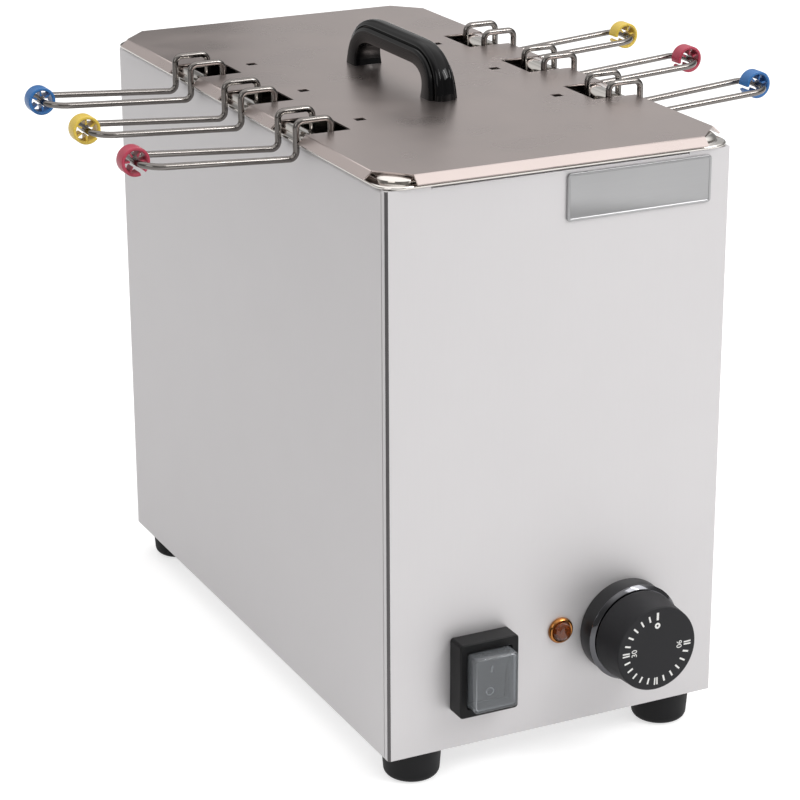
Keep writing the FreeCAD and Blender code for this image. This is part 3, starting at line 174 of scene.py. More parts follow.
# The same sheet where it is bent, sharper in its reflections, with a painted dark reflection in its colour.
PAINTED_DARK_BEND_STEEL = Finish("bend_with_painted_dark_reflection", "#5C5A5B", 0.20, metallic=1.0, grain=Grain.ALONG_Z,
                    grain_mm=0.4, shade_spread=0.05, rough_spread=0.04, bump_mm=0.0008)
# Brushed stainless lid: warmer and duller, its lines run along the lid.
LID_STEEL = Finish("brushed_stainless_lid", "#C6BAB6", 0.29, metallic=1.0, grain=Grain.ALONG_Y,
                   grain_mm=0.7, shade_spread=0.012, rough_spread=0.03, bump_mm=0.0003)
# Deep-drawn and buffed stainless: sharp light and dark reflections on its rim.
POLISHED_STEEL = Finish("buffed_stainless_pan", "#DAD6D1", 0.09, metallic=1.0,
                        grain_mm=2.2, shade_spread=0.01, rough_spread=0.03, bump_mm=0.0004)
# Bright-drawn stainless wire: a long streak of light with dark edges.
WIRE_STEEL = Finish("bright_drawn_wire", "#7A7673", 0.18, metallic=1.0, grain=Grain.ALONG_X,
                    grain_mm=0.8, shade_spread=0.04, rough_spread=0.03, bump_mm=0.0002)
# Chrome plate on the ring behind the knob, its colour darkened as a painted dark reflection.
PAINTED_DARK_CHROME = Finish("chrome_with_painted_dark_reflection", "#5E5E61", 0.10, metallic=1.0, grain_mm=0.8,
                shade_spread=0.01, rough_spread=0.02, bump_mm=0.0003)
# Zinc-plated steel fasteners: pale, slightly milky metal.
ZINC = Finish("zinc_plated_steel", "#B9BBBC", 0.38, metallic=1.0, grain_mm=0.5,
              shade_spread=0.06)
# Annealed heater tube: dull, dark and a little brown.
HEATER_STEEL = Finish("annealed_heater_tube", "#6A625B", 0.48, metallic=1.0, grain_mm=0.7,
                      shade_spread=0.12)
# Mill-finish aluminium of the clamp plate.
ALUMINIUM = Finish("mill_aluminium", "#C9CACC", 0.36, metallic=1.0, grain=Grain.ALONG_Y,
                   grain_mm=0.4, shade_spread=0.05, bump_mm=0.002)
# Satin anodised aluminium of the bare badge plate.
BADGE = Finish("satin_anodised_plate", "#A6A6A7", 0.36, metallic=0.85, grain=Grain.ALONG_X,
               grain_mm=0.3, shade_spread=0.03, rough_spread=0.03, bump_mm=0.0008)
# Turned brass of the nuts and the shaft: yellow, with fine bright rings.
BRASS = Finish("turned_brass", "#C79A4B", 0.28, metallic=1.0, grain_mm=0.4,
               shade_spread=0.08, bump_mm=0.002)
# Drawn copper: reddish and softly bright.
COPPER = Finish("drawn_copper_tube", "#B8734C", 0.30, metallic=1.0, grain_mm=0.4,
                shade_spread=0.10, bump_mm=0.002)
# Compression-moulded phenolic: deep black with a glassy skin.
PHENOLIC = Finish("moulded_phenolic", "#09090A", 0.045, ior=1.29, grain_mm=0.9,
                  shade_spread=0.20, rough_spread=0.02, bump_mm=0.0008)
# Glass-filled nylon of the knob: black, faintly grained, satin.
KNOB_PLASTIC = Finish("satin_black_nylon", "#2A2A2C", 0.46, ior=1.26, grain_mm=0.35,
                      shade_spread=0.10, rough_spread=0.04, bump_mm=0.006)
# Moulded bezel behind the knob: a shade glossier than the knob.
BEZEL_PLASTIC = Finish("moulded_black_bezel", "#232325", 0.36, ior=1.42, grain_mm=0.4,
                       shade_spread=0.10, rough_spread=0.05)
# ABS of the switch frame, spark-eroded texture.
ABS = Finish("textured_black_abs", "#0F0F10", 0.48, ior=1.3, grain_mm=0.3, shade_spread=0.12,
             rough_spread=0.06, bump_mm=0.008)
# Polished polycarbonate of the rocker: clear highlights.
ROCKER_PLASTIC = Finish("glossy_black_polycarbonate", "#19191B", 0.22, ior=1.58,
                        shade_spread=0.10, bump_mm=0.001)
# Phenolic cases of the controls: brownish and dull.
CONTROL_PLASTIC = Finish("dark_phenolic_case", "#2A2521", 0.50, grain_mm=0.5,
                         shade_spread=0.15, bump_mm=0.008)
# Undyed nylon: milky white and satin.
NYLON = Finish("white_nylon", "#DBD8CF", 0.48, grain_mm=0.4, shade_spread=0.03)
# Vulcanised rubber: soft black with a dry bloom.
RUBBER = Finish("moulded_rubber", "#141416", 0.60, ior=1.34, grain_mm=0.5, shade_spread=0.18,
                bump_mm=0.010)
# Clear soft PVC over the switch: a grey veil with bright edges.
CLEAR_CAP = Finish("clear_soft_pvc", "#C3C7CB", 0.05, ior=1.4, grain_mm=2.5,
                   shade_spread=0.03, rough_spread=0.03, bump_mm=0.002, transmission=0.86)
# Tinted polycarbonate of the pilot lamp.
AMBER = Finish("amber_polycarbonate", "#8C4A20", 0.10, ior=1.58, grain_mm=0.8,
               shade_spread=0.45, rough_spread=0.04, bump_mm=0.006, transmission=0.70)
# Lacquered brass of the lamp's collar.
GILT = Finish("lacquered_brass_collar", "#A8713F", 0.16, metallic=1.0,
              shade_spread=0.20, rough_spread=0.05, bump_mm=0.002)
# Pad-printed ink: flat and white.
INK = Finish("white_pad_print", "#EDEDEA", 0.55, grain_mm=0.3, shade_spread=0.03, bump_mm=0.001)
# The same ink, worn by fingers.
FAINT_INK = Finish("worn_pad_print", "#D8D8D6", 0.55, grain_mm=0.3, shade_spread=0.05,
                   bump_mm=0.001)


class GripColour(Enum):
    """Colours of the clip-on grips, moulded in dyed polypropylene."""

    BLUE = ("blue", "#2F6CAB")
    YELLOW = ("yellow", "#DDBF4E")
    RED = ("red", "#B03A50")

    def finish(self) -> Finish:
        """The moulded finish in this colour."""
        word, code = self.value
        return Finish(f"{word}_polypropylene", code, 0.33, ior=1.49, grain_mm=0.5,
                      shade_spread=0.04, rough_spread=0.05)


def box_mm(node: str) -> tuple[Vector, Vector]:
    """Lowest and highest corner of a frame node, in millimetres."""
    low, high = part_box(node)
    return low / MM, high / MM


def arc(centre: Sequence[float], radius: float, start: float, end: float,
        steps: int = BEND_STEPS) -> list[tuple[float, float]]:
    """Points along a flat arc.

    Args:
        centre: first and second coordinate of the centre.
        radius: its radius.
        start: first angle in degrees.
        end: last angle in degrees.
        steps: number of equal parts.

    Returns:
        The points from start to end, both included.
    """
    turns = [math.radians(start + (end - start) * i / steps) for i in range(steps + 1)]
    return [(centre[0] + radius * math.cos(t), centre[1] + radius * math.sin(t)) for t in turns]


def mirrored(line: Sequence[tuple[float, float]]) -> list[tuple[float, float]]:
    """The same line on the other side of the middle, in the opposite order."""
    return [(-a, b) for a, b in reversed(line)]


def rounded_ring(low: Vector, high: Vector, inset: float, radius: float, level: float,
                 second: int = 2, steps: int = 5) -> list[Vector]:
    """A flat ring of points round a box, with round corners, as many for any radius.

    Args:
        low: lowest corner of the box.
        high: highest corner of the box.
        inset: distance inside the box's sides.
        radius: corner radius.
        level: the ring's place along its own axis.
        second: 2 for a ring that faces the front, or 1 for a level one.
        steps: number of equal parts in a corner.

    Returns:
        The points in one turn.
    """
    ring = []
    for sx, sz, start in CORNERS:
        a = (high if sx > 0 else low).x - sx * (inset + radius)
        b = (high if sz > 0 else low)[second] - sz * (inset + radius)
        turn = arc((a, b), radius, start, start + 90, steps)
        ring += [Vector((p, level, q) if second == 2 else (p, q, level)) for p, q in turn]
    return ring


@dataclass
class Shape:
    """Points and faces of one piece, in millimetres."""

    points: list[Vector] = field(default_factory=list)
    faces: list[list[int]] = field(default_factory=list)

    def loft(self, rings: Sequence[Sequence[Vector]], looped: bool = False,
             caps: bool = True) -> "Shape":
        """Join closed rings of equal count into one skin.

        Args:
            rings: the rings, in order.
            looped: join the last ring to the first.
            caps: fill the first and the last ring.

        Returns:
            The shape itself.
        """
        first, count, rows = len(self.points), len(rings[0]), len(rings)
        for ring in rings:
            self.points.extend(Vector(p) for p in ring)
        for i in range(rows if looped else rows - 1):
            low, high = first + i * count, first + (i + 1) % rows * count
            for j in range(count):
                k = (j + 1) % count
                self.faces.append([low + j, low + k, high + k, high + j])
        if caps and not looped:
            self.faces.append([first + j for j in range(count)])
            self.faces.append([first + (rows - 1) * count + j for j in range(count)])
        return self

    def prism(self, outline: Sequence[tuple[float, float]], low: float, high: float,
              axis: str = "z") -> "Shape":
        """Run a flat outline along one axis, from low to high."""
        order = {"x": lambda a, b, c: (c, a, b), "y": lambda a, b, c: (a, c, b),
                 "z": lambda a, b, c: (a, b, c)}[axis]
        return self.loft([[Vector(order(a, b, c)) for a, b in outline] for c in (low, high)])

    def block(self, low: Sequence[float], high: Sequence[float]) -> "Shape":
        """Add a plain block between two corners."""
        (a, b, c), (d, e, f) = low, high
        return self.prism([(a, b), (d, b), (d, e), (a, e)], c, f)

    def lathe(self, profile: Sequence[tuple[float, float]], centre: Sequence[float],
              axis: str = "z", steps: int = ROUND_STEPS, looped: bool = False) -> "Shape":
        """Turn a profile of radius and height about an axis.

        Args:
            profile: radius and height of each point.
            centre: a point on the axis, where height is zero.
            axis: z for upright, or y for one that runs to the back.
            steps: number of equal parts in the turn.
            looped: join the last point of the profile to the first.

        Returns:
            The shape itself.
        """
        turns = [2 * math.pi * i / steps for i in range(steps)]
        rings = []
        for radius, height in profile:
            flat = [(radius * math.cos(t), radius * math.sin(t)) for t in turns]
            rings.append([Vector(centre) + Vector((a, b, height) if axis == "z" else (a, height, b))
                          for a, b in flat])
        return self.loft(rings, looped=looped, caps=False)

    def object(self, name: str, smooth: float = SMOOTH_ANGLE) -> bpy.types.Object:
        """Make the piece: merged points, outward faces, sharp edges kept."""
        mesh = bpy.data.meshes.new(name)
        mesh.from_pydata([p * MM for p in self.points], [], self.faces)
        work = bmesh.new()
        work.from_mesh(mesh)
        bmesh.ops.remove_doubles(work, verts=work.verts, dist=0.001 * MM)
        bmesh.ops.dissolve_degenerate(work, edges=work.edges, dist=0.0001 * MM)
        bmesh.ops.recalc_face_normals(work, faces=work.faces)
        work.to_mesh(mesh)
        work.free()
        piece = new_object(name, mesh)
        shade(piece, smooth)
        return piece


def shade(piece: bpy.types.Object, smooth: float = SMOOTH_ANGLE) -> None:
    """Shade a piece smooth, with edges over an angle kept sharp."""
    piece.data.polygons.foreach_set("use_smooth", [True] * len(piece.data.polygons))
    piece.data.set_sharp_from_angle(angle=smooth)


def final_mesh(piece: bpy.types.Object) -> bpy.types.Mesh:
    """The mesh that a piece shows after its modifiers."""
    graph = bpy.context.evaluated_depsgraph_get()
    return bpy.data.meshes.new_from_object(piece.evaluated_get(graph))


def settle(piece: bpy.types.Object) -> bpy.types.Object:
    """Turn a piece and its modifiers into a plain mesh."""
    mesh = final_mesh(piece)
    piece.modifiers.clear()
    piece.data = mesh
    return piece


def bevel(piece: bpy.types.Object, width: float, segments: int, harden: bool) -> None:
    """Round the edges of over 50 degrees by a width in millimetres."""
    modifier = piece.modifiers.new("edges", "BEVEL")
    modifier.width = width * MM
    modifier.segments = segments
    modifier.limit_method = "ANGLE"
    modifier.angle_limit = math.radians(50)
    modifier.harden_normals = harden
    settle(piece)


def carve(piece: bpy.types.Object, tool: Shape) -> None:
    """Take a tool's shape out of a piece."""
    cutter = tool.object("cutter")
    modifier = piece.modifiers.new("carve", "BOOLEAN")
    modifier.operation = "DIFFERENCE"
    modifier.solver = "EXACT"
    modifier.object = cutter
    settle(piece)
    bpy.data.objects.remove(cutter)
    shade(piece)


def dress(piece: bpy.types.Object, finish: Finish, body: str, slot: str, *replaced: str) -> None:
    """Give a piece its finish, the body it moves with and the nodes it stands for.

    Args:
        piece: the finished piece.
        finish: its surface.
        body: the frame body that carries it.
        slot: the record's slot that the finish belongs to; not used.
        replaced: frame nodes that it stands for.
    """
    piece.data.materials.clear()
    piece.data.materials.append(finish.material())
    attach(piece, body)
    if replaced:
        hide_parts(*replaced)
    log.info("%s: %d faces, %s on %s", piece.name, len(piece.data.polygons), finish.name, body)


def plain(carrier: bpy.types.Object) -> bpy.types.Object:
    """Replace an object by a new one of the same name that has its final mesh and no modifier."""
    mesh, name = final_mesh(carrier), carrier.name
    bpy.data.objects.remove(carrier)
    return new_object(name, mesh)


def run_nodes(tree: bpy.types.NodeTree, carrier: bpy.types.Object,
              values: dict[str, object]) -> bpy.types.Object:
    """Run a geometry tree on an object and give its result as a plain mesh piece.

    Args:
        tree: the geometry tree.
        carrier: the object that it works on, which is removed.
        values: input name to value.

    Returns:
        A new object with the plain mesh, under the carrier's name.
    """
    modifier = carrier.modifiers.new("nodes", "NODES")
    modifier.node_group = tree
    for socket in tree.interface.items_tree:
        if socket.item_type == "SOCKET" and socket.in_out == "INPUT" and socket.name in values:
            modifier[socket.identifier] = values[socket.name]
    return plain(carrier)


def new_geometry_tree(name: str, inputs: dict[str, tuple[str, object]]) -> tuple:
    """Start a geometry tree with a geometry input and output and named inputs.

    Args:
        name: the tree's name.
        inputs: input name to socket type and default value.

    Returns:
        The tree and its input node.
    """
    tree = bpy.data.node_groups.new(name, "GeometryNodeTree")
    tree.interface.new_socket("Geometry", in_out="OUTPUT", socket_type="NodeSocketGeometry")
    tree.interface.new_socket("Geometry", in_out="INPUT", socket_type="NodeSocketGeometry")
    for label, (kind, default) in inputs.items():
        socket = tree.interface.new_socket(label, in_out="INPUT", socket_type=kind)
        if default is not None:
            socket.default_value = default
    return tree, add_node(tree, "NodeGroupInput")


def end_geometry_tree(tree: bpy.types.NodeTree, start: bpy.types.Node,
                      geometry: bpy.types.Node) -> None:
    """Close a geometry tree with Realize Instances and Set Material."""
    real = add_node(tree, "GeometryNodeRealizeInstances", {"Geometry": geometry})
    dressed = add_node(tree, "GeometryNodeSetMaterial", {
        "Geometry": real, "Material": start.outputs["Material"]})
    add_node(tree, "NodeGroupOutput", {0: dressed})


class WireBender:
    """Bends wire along a polyline, with the bend radius of each corner kept on its point."""

    def __init__(self) -> None:
        """Build the tree once for every wire."""
        self.tree, start = new_geometry_tree("bent_wire", {
            "Wire Radius": ("NodeSocketFloat", 0.0015), "Sides": ("NodeSocketInt", 20),
            "Bend Steps": ("NodeSocketInt", 10), "Material": ("NodeSocketMaterial", None)})
        given = start.outputs
        corner = add_node(self.tree, "GeometryNodeInputRadius")
        bends = add_node(self.tree, "GeometryNodeFilletCurve", {
            "Curve": given["Geometry"], "Count": given["Bend Steps"], "Radius": corner,
            "Limit Radius": True}, mode="POLY")
        even = add_node(self.tree, "GeometryNodeSetCurveRadius", {"Curve": bends, "Radius": 1.0})
        section = add_node(self.tree, "GeometryNodeCurvePrimitiveCircle", {
            "Resolution": given["Sides"], "Radius": given["Wire Radius"]})
        skin = add_node(self.tree, "GeometryNodeCurveToMesh", {
            "Curve": even, "Profile Curve": section, "Fill Caps": True})
        end_geometry_tree(self.tree, start, skin)

    def bend(self, name: str, corners: Sequence[tuple[Vector, float]], radius: float,
             finish: Finish) -> bpy.types.Object:
        """Bend one wire.

        Args:
            name: the piece's name.
            corners: each corner and its bend radius, in millimetres.
            radius: the wire's own radius.
            finish: its surface.

        Returns:
            The wire as a plain mesh.
        """
        curve = bpy.data.curves.new(name, "CURVE")
        curve.dimensions = "3D"
        spline = curve.splines.new("POLY")
        spline.points.add(len(corners) - 1)
        for point, (place, bend_radius) in zip(spline.points, corners):
            point.co = (*(place * MM), 1.0)
            point.radius = max(bend_radius, 0.001) * MM
        piece = run_nodes(self.tree, new_object(name, curve), {
            "Wire Radius": radius * MM, "Material": finish.material()})
        shade(piece, WIRE_ANGLE)
        return piece


class RingRepeater:
    """Repeats a small block on a ring, as for ribs, dial marks and flutes."""

    def __init__(self) -> None:
        """Build the tree once for every ring."""
        self.tree, start = new_geometry_tree("ring_of_blocks", {
            "Count": ("NodeSocketInt", 12), "Ring Radius": ("NodeSocketFloat", 0.01),
            "First Angle": ("NodeSocketFloat", 0.0), "Angle Step": ("NodeSocketFloat", 0.5),
            "Skip Every": ("NodeSocketInt", 0), "Block Size": ("NodeSocketVector", (0.001,) * 3),
            "Material": ("NodeSocketMaterial", None)})
        tree, given, math_node = self.tree, start.outputs, "ShaderNodeMath"
        spots = add_node(tree, "GeometryNodeMeshLine", {"Count": given["Count"]})
        index = add_node(tree, "GeometryNodeInputIndex")
        steps = add_node(tree, math_node, {0: index, 1: given["Angle Step"]}, operation="MULTIPLY")
        turn = add_node(tree, math_node, {0: steps, 1: given["First Angle"]}, operation="ADD")
        across = add_node(tree, math_node, {0: turn}, operation="COSINE")
        up = add_node(tree, math_node, {0: turn}, operation="SINE")
        way = add_node(tree, "ShaderNodeCombineXYZ", {"X": across, "Y": up})
        out = add_node(tree, "ShaderNodeVectorMath", {0: way, "Scale": given["Ring Radius"]},
                       operation="SCALE")
        placed = add_node(tree, "GeometryNodeSetPosition", {"Geometry": spots, "Position": out})
        whole = add_node(tree, math_node, {0: index, 1: 1.0}, operation="ADD")
        left = add_node(tree, math_node, {0: whole, 1: given["Skip Every"]}, operation="MODULO")
        kept = add_node(tree, "FunctionNodeCompare", {0: left, 1: 0.5}, data_type="FLOAT",
                        operation="GREATER_THAN")
        block = add_node(tree, "GeometryNodeMeshCube", {"Size": given["Block Size"]})
        angle = add_node(tree, "ShaderNodeCombineXYZ", {"Z": turn})
        many = add_node(tree, "GeometryNodeInstanceOnPoints", {
            "Points": placed, "Instance": block, "Selection": kept, "Rotation": angle})
        end_geometry_tree(tree, start, many)

    def repeat(self, name: str, finish: Finish, centre: Vector, count: int, radius: float,
               size: Sequence[float], first: float = 0.0, step: float | None = None,
               skip: int = 1000) -> bpy.types.Object:
        """Set equal blocks on a ring that faces the front.

        Args:
            name: the piece's name.
            finish: its surface.
            centre: of the ring, in millimetres.
            count: number of places.
            radius: of the ring through the blocks' middles.
            size: of a block, outwards, along the ring and along the axis.
            first: angle of the first place, in degrees.
            step: angle between places; the whole turn shared out if left out.
            skip: leave out each place whose number is a multiple of this.

        Returns:
            All the blocks as one plain mesh.
        """
        piece = run_nodes(self.tree, new_object(name, bpy.data.meshes.new(name)), {
            "Count": count, "Ring Radius": radius * MM, "First Angle": math.radians(first),
            "Angle Step": math.radians(360 / count if step is None else step),
            "Skip Every": skip, "Block Size": [s * MM for s in size],
            "Material": finish.material()})
        piece.data.transform(Matrix.Translation(centre * MM) @ UPRIGHT)
        return piece


@dataclass
class Housing:
    """Wrap and front panel of satin sheet, bent from the sides that the frame gives."""

    body: str = "housing"
    sheet: float = 1.0
    corner_bend: float = 3.2
    top_bend: float = 2.0
    top_flange: float = 10.0
    bottom_flange: float = 10.5
    seam_back: float = 4.0
    seam_gap: float = 0.5
    tuck_gap: float = 0.3
    tail: float = 12.0
    front_corner: float = 1.2
    relief_x: float = 63.5
    relief_width: float = 0.12
    relief_depth: float = 1.8
    front_drop: float = 0.5
    front_bend: float = 1.1
    window_gap: float = 0.2

    def __post_init__(self) -> None:
        """Read the housing's place from the frame."""
        low, high = box_mm("side_and_back_wrap")
        self.half = high.x
        self.base, self.top = low.z, high.z
        self.front, self.back = box_mm("front_panel")[0].y, high.y
        self.middle = Vector((0.0, (self.front + self.back) / 2, 0.0))

    def wrap_ring(self, inset: float) -> list[tuple[float, float]]:
        """Plan of the wrap's path at an inset, from its left front edge to its right one."""
        r = max(self.corner_bend - inset, 0.0)
        x, y = self.half - inset, self.back - inset
        start = self.front + self.seam_back + self.seam_gap
        return ([(-x, start)] + arc((-x + r, y - r), r, 180, 90)
                + arc((x - r, y - r), r, 90, 0) + [(x, start)])

    def top_edge(self, face: float, roof: float, radius: float) -> list[tuple[float, float]]:
        """Section of a sheet's bend into its top flange.

        Args:
            face: place of the sheet's outer face.
            roof: height of the flange.
            radius: outer radius of the bend.

        Returns:
            Points up the outer face, along the flange and back to the inner face.
        """
        x, z, far = face + radius, roof - radius, face + self.top_flange
        return ([(face, z)] + [(x - a, z + b) for a, b in arc((0, 0), radius, 0, 90)]
                + [(far, roof), (far, roof - self.sheet)]
                + [(x - a, z + b) for a, b in arc((0, 0), radius - self.sheet, 90, 0)])

    def make_wrap(self) -> None:
        """Bend the side and back sheet, with its top and bottom flanges."""
        t, base, far = self.sheet, self.base, self.bottom_flange
        profile = [(0.0, base)] + self.top_edge(0.0, self.top, self.top_bend)
        profile += [(t, base + 2 * t), (far, base + 2 * t), (far, base + t), (t, base + t), (t, base)]
        paths = [self.wrap_ring(inset) for inset, height in profile]
        rings = [[Vector((*path[i], height)) for path, (inset, height) in zip(paths, profile)]
                 for i in range(len(paths[0]))]
        wrap = Shape().loft(rings).object("wrap_sheet")
        dress(wrap, BODY_STEEL, self.body, "body_steel", "side_and_back_wrap")

    def front_plan(self) -> list[tuple[float, float]]:
        """Plan outline of the front sheet with its round outer corners and tucked edges."""
        h, r, t, f = self.half, self.front_corner, self.sheet, self.front
        tuck = h - t - self.tuck_gap
        inner, seam = tuck - t, f + self.seam_back
        end = seam + self.tail
        right = arc((h - r, f + r), r, 270, 360)
        right += [(h, seam), (tuck, seam), (tuck, end), (inner, end), (inner, f + t)]
        return right + mirrored(right)

    def make_front(self) -> None:
        """Bend the front sheet: two round corners and a top flange between two reliefs."""
        low, t, f = self.top - self.relief_depth, self.sheet, self.front
        edge = self.relief_x + self.relief_width
        plan = self.front_plan()
        shape = Shape().prism(plan, self.base, low)
        corner = [(edge, f)] + [(x, y) for x, y in plan if x > edge] + [(edge, f + t)]
        shape.prism(corner, low, self.top)
        shape.prism(mirrored(corner), low, self.top)
        bend = self.top_edge(f, self.top - self.front_drop, self.front_bend)
        shape.prism([(f, low), *bend, (f + t, low)], -self.relief_x, self.relief_x, axis="x")
        panel = shape.object("front_sheet")
        window_low, window_high = box_mm("switch_housing")
        gap, through = self.window_gap, 5
        carve(panel, Shape().block((window_low.x - gap, f - through, window_low.z - gap),
                                   (window_high.x + gap, f + through, window_high.z + gap)))
        dress(panel, BODY_STEEL, self.body, "body_steel", "front_panel")
        self.darken_bends(panel)

    def darken_bends(self, panel: bpy.types.Object) -> None:
        """Give the faces of the upright bend at the left a darker finish: a painted dark reflection."""
        # Painted dark reflection: a dark steel colour on the left front bend only.
        panel.data.materials.append(PAINTED_DARK_BEND_STEEL.material())
        inside = (self.half - self.front_corner) * MM
        edge = (self.front + self.front_corner) * MM
        for face in panel.data.polygons:
            if face.center.x < -inside and face.center.y < edge and abs(face.normal.z) < 0.5:
                face.material_index = 1

    def build(self) -> None:
        """Make the two sheets."""
        self.make_wrap()
        self.make_front()


@dataclass
class Tank:
    """Deep-drawn water pan hung by its buffed rim."""

    body: str = "housing"
    rim_width: float = 13.3
    rim_corner: float = 11.0
    bead: float = 0.85
    wall: float = 0.8
    corner: float = 22.0
    floor_round: float = 9.0
    floor_gap: float = 0.15
    stud: float = 2.5
    stud_inset: tuple[float, float] = (4.6, 4.0)

    def build(self, housing: Housing) -> None:
        """Loft the pan as one closed skin from its underside over the bead to its floor."""
        low, high = box_mm("water_tank")
        top, rise = housing.top, high.z - housing.top
        floor = box_mm("safety_cutout")[1].z + self.floor_gap
        rim, turn, wall, corner = self.rim_width, self.floor_round, self.wall, self.corner
        under = [(rim + turn - a, corner - turn + a, floor + turn + wall + c)
                 for a, c in arc((0, 0), turn + wall, -90, 0)]
        under += [(rim - wall, corner, top - 1), (rim - 2, corner - 1, top + rise - 2.6),
                  (4.4, self.rim_corner, top + rise - 1.4), (1.9, self.rim_corner, top + 0.9)]
        over = []
        for inset, height in self.rim_section(rise):
            share = inset / rim
            over.append((inset, self.rim_corner + (corner - self.rim_corner) * share * share,
                         top + height))
        over.append((rim, corner, top - 2.0))
        over += [(rim + turn - a, corner - turn + a, floor + wall + turn + c)
                 for a, c in arc((0, 0), turn, 0, -90)]
        rings = [rounded_ring(low, high, *station, second=1, steps=2 * BEND_STEPS)
                 for station in under + over]
        pan = Shape().loft(rings).object("drawn_pan")
        dress(pan, POLISHED_STEEL, self.body, "tank_steel", "water_tank")
        self.make_studs(low.z, floor)

    def rim_section(self, rise: float) -> list[tuple[float, float]]:
        """Inset and height of the rim: a rolled bead, a step and a broad crown."""
        b = self.bead
        section = [(max(b + a, 0.0), max(b + c, 0.0)) for a, c in arc((0, 0), b, 250, 90, 10)]
        section += [(b + 1.4, 2 * b + 0.15), (b + 2.3, 2 * b + 0.75)]
        for x, z, wide, angles in ((5.9, 1.2, 3.4, range(150, 90, -6)), (6.4, 0.6, 6.1, range(90, 8, -4))):
            section += [(x + wide * math.cos(t), z + (rise - z) * math.sin(t))
                        for t in map(math.radians, angles)]
        return section

    def make_studs(self, toe: float, floor: float) -> None:
        """Welded studs that hold the element clamp."""
        low, high = box_mm("element_clamp_nuts")
        x, y = self.stud_inset
        r, shape = self.stud, Shape()
        for place in ((high.x - x, high.y - y, 0), (low.x + x, low.y + y, 0)):
            shape.lathe([(0, toe), (r - 0.3, toe), (r, toe + 0.3), (r, floor), (0, floor)], place,
                        steps=32)
        dress(shape.object("clamp_studs"), ZINC, self.body, "tank_steel")


@dataclass
class Lid:
    """Brushed lid plate with six notches, sloped edges and a moulded handle."""

    body: str = "lid"
    sheet: float = 0.8
    corner_x: float = 13.0
    corner_y: float = 14.0
    out: float = 4.0
    down: float = 3.5
    bend: float = 1.4
    notch_depth: float = 22.0
    notch_length: float = 30.0
    pitch: float = 62.5
    vent: float = 4.8
    vent_gap: float = 11.5
    edge_round: float = 0.16
    large_face: float = 40.0

    def __post_init__(self) -> None:
        """Read the lid's place from the frame."""
        low, high = box_mm("lid_plate")
        self.roof = high.z
        self.middle_y = (low.y + high.y) / 2
        self.half_x = high.x - self.out
        self.half_y = (high.y - low.y) / 2 - self.out

    def edge_profile(self) -> list[tuple[float, float]]:
        """Outward and downward steps of the bent edge, from the flat to its lip."""
        slope = math.atan2(self.down, self.out)
        curve = [(self.bend * math.sin(a), self.bend * (1 - math.cos(a)))
                 for a in (slope * i / 5 for i in range(6))]
        end_out, end_down = curve[-1]
        shift = end_out - self.out + (self.down - end_down) / math.tan(slope)
        return [(max(a - shift, 0.0), b) for a, b in curve[1:]] + [(self.out, self.down)]

    def outline(self) -> list[tuple[float, float]]:
        """The flat's outline about its own middle, with the notches, in one turn."""
        x, y = self.half_x, self.half_y
        cx, cy, deep = x - self.corner_x, y - self.corner_y, x - self.notch_depth
        right = [(x, -cy)]
        for row in (-1, 0, 1):
            low = row * self.pitch - self.notch_length / 2
            high = row * self.pitch + self.notch_length / 2
            right += [(x, low), (deep, low), (deep, high), (x, high)]
        right.append((x, cy))
        left = [(-a, -b) for a, b in right]
        return [(cx, -y)] + right + [(cx, y), (-cx, y)] + left + [(-cx, -y)]

    def make_plate(self) -> None:
        """Fold the plate: one flat sheet with bent edge strips between the notches."""
        flat, roof, mid = self.outline(), self.roof, self.middle_y
        shape = Shape([Vector((a, b + mid, roof)) for a, b in flat], [list(range(len(flat)))])
        for i, (start, end) in enumerate(zip(flat, flat[1:] + flat[:1])):
            side = start[0] == end[0] and abs(start[0]) == self.half_x
            if not side and not (start[1] == end[1] and abs(start[1]) == self.half_y):
                continue
            way_x = math.copysign(1, start[0]) if side else 0
            way_y = 0 if side else math.copysign(1, start[1])
            before = [i, (i + 1) % len(flat)]
            for a, b in self.edge_profile():
                here = len(shape.points)
                shape.points += [Vector((x + way_x * a, y + way_y * a + mid, roof - b))
                                 for x, y in (start, end)]
                shape.faces.append([*before, here + 1, here])
                before = [here, here + 1]
        plate = self.thicken(shape.object("lid_sheet"))
        tool = Shape()
        vent_x, v = self.half_x - self.notch_depth - self.vent_gap, self.vent / 2
        for y in (mid + row * self.pitch for row in (-1, 0, 1)):
            for x in (-vent_x, vent_x):
                tool.block((x - v, y - v, roof - 5), (x + v, y + v, roof + 5))
        carve(plate, tool)
        bevel(plate, self.edge_round, 2, False)
        shade(plate, FOLD_ANGLE)
        for face in plate.data.polygons:
            if abs(face.normal.z) > 0.9999 or face.area > self.large_face * MM * MM:
                face.use_smooth = False
        dress(plate, LID_STEEL, self.body, "lid_steel", "lid_plate")

    def thicken(self, piece: bpy.types.Object) -> bpy.types.Object:
        """Give the folded surface its sheet thickness, downwards."""
        if sum(f.normal.z * f.area for f in piece.data.polygons) < 0:
            piece.data.flip_normals()
        modifier = piece.modifiers.new("sheet", "SOLIDIFY")
        modifier.thickness = self.sheet * MM
        modifier.offset = -1.0
        modifier.use_even_offset = True
        return settle(piece)

    def build(self) -> None:
        """Make the plate and its handle."""
        self.make_plate()
        LidHandle().build()


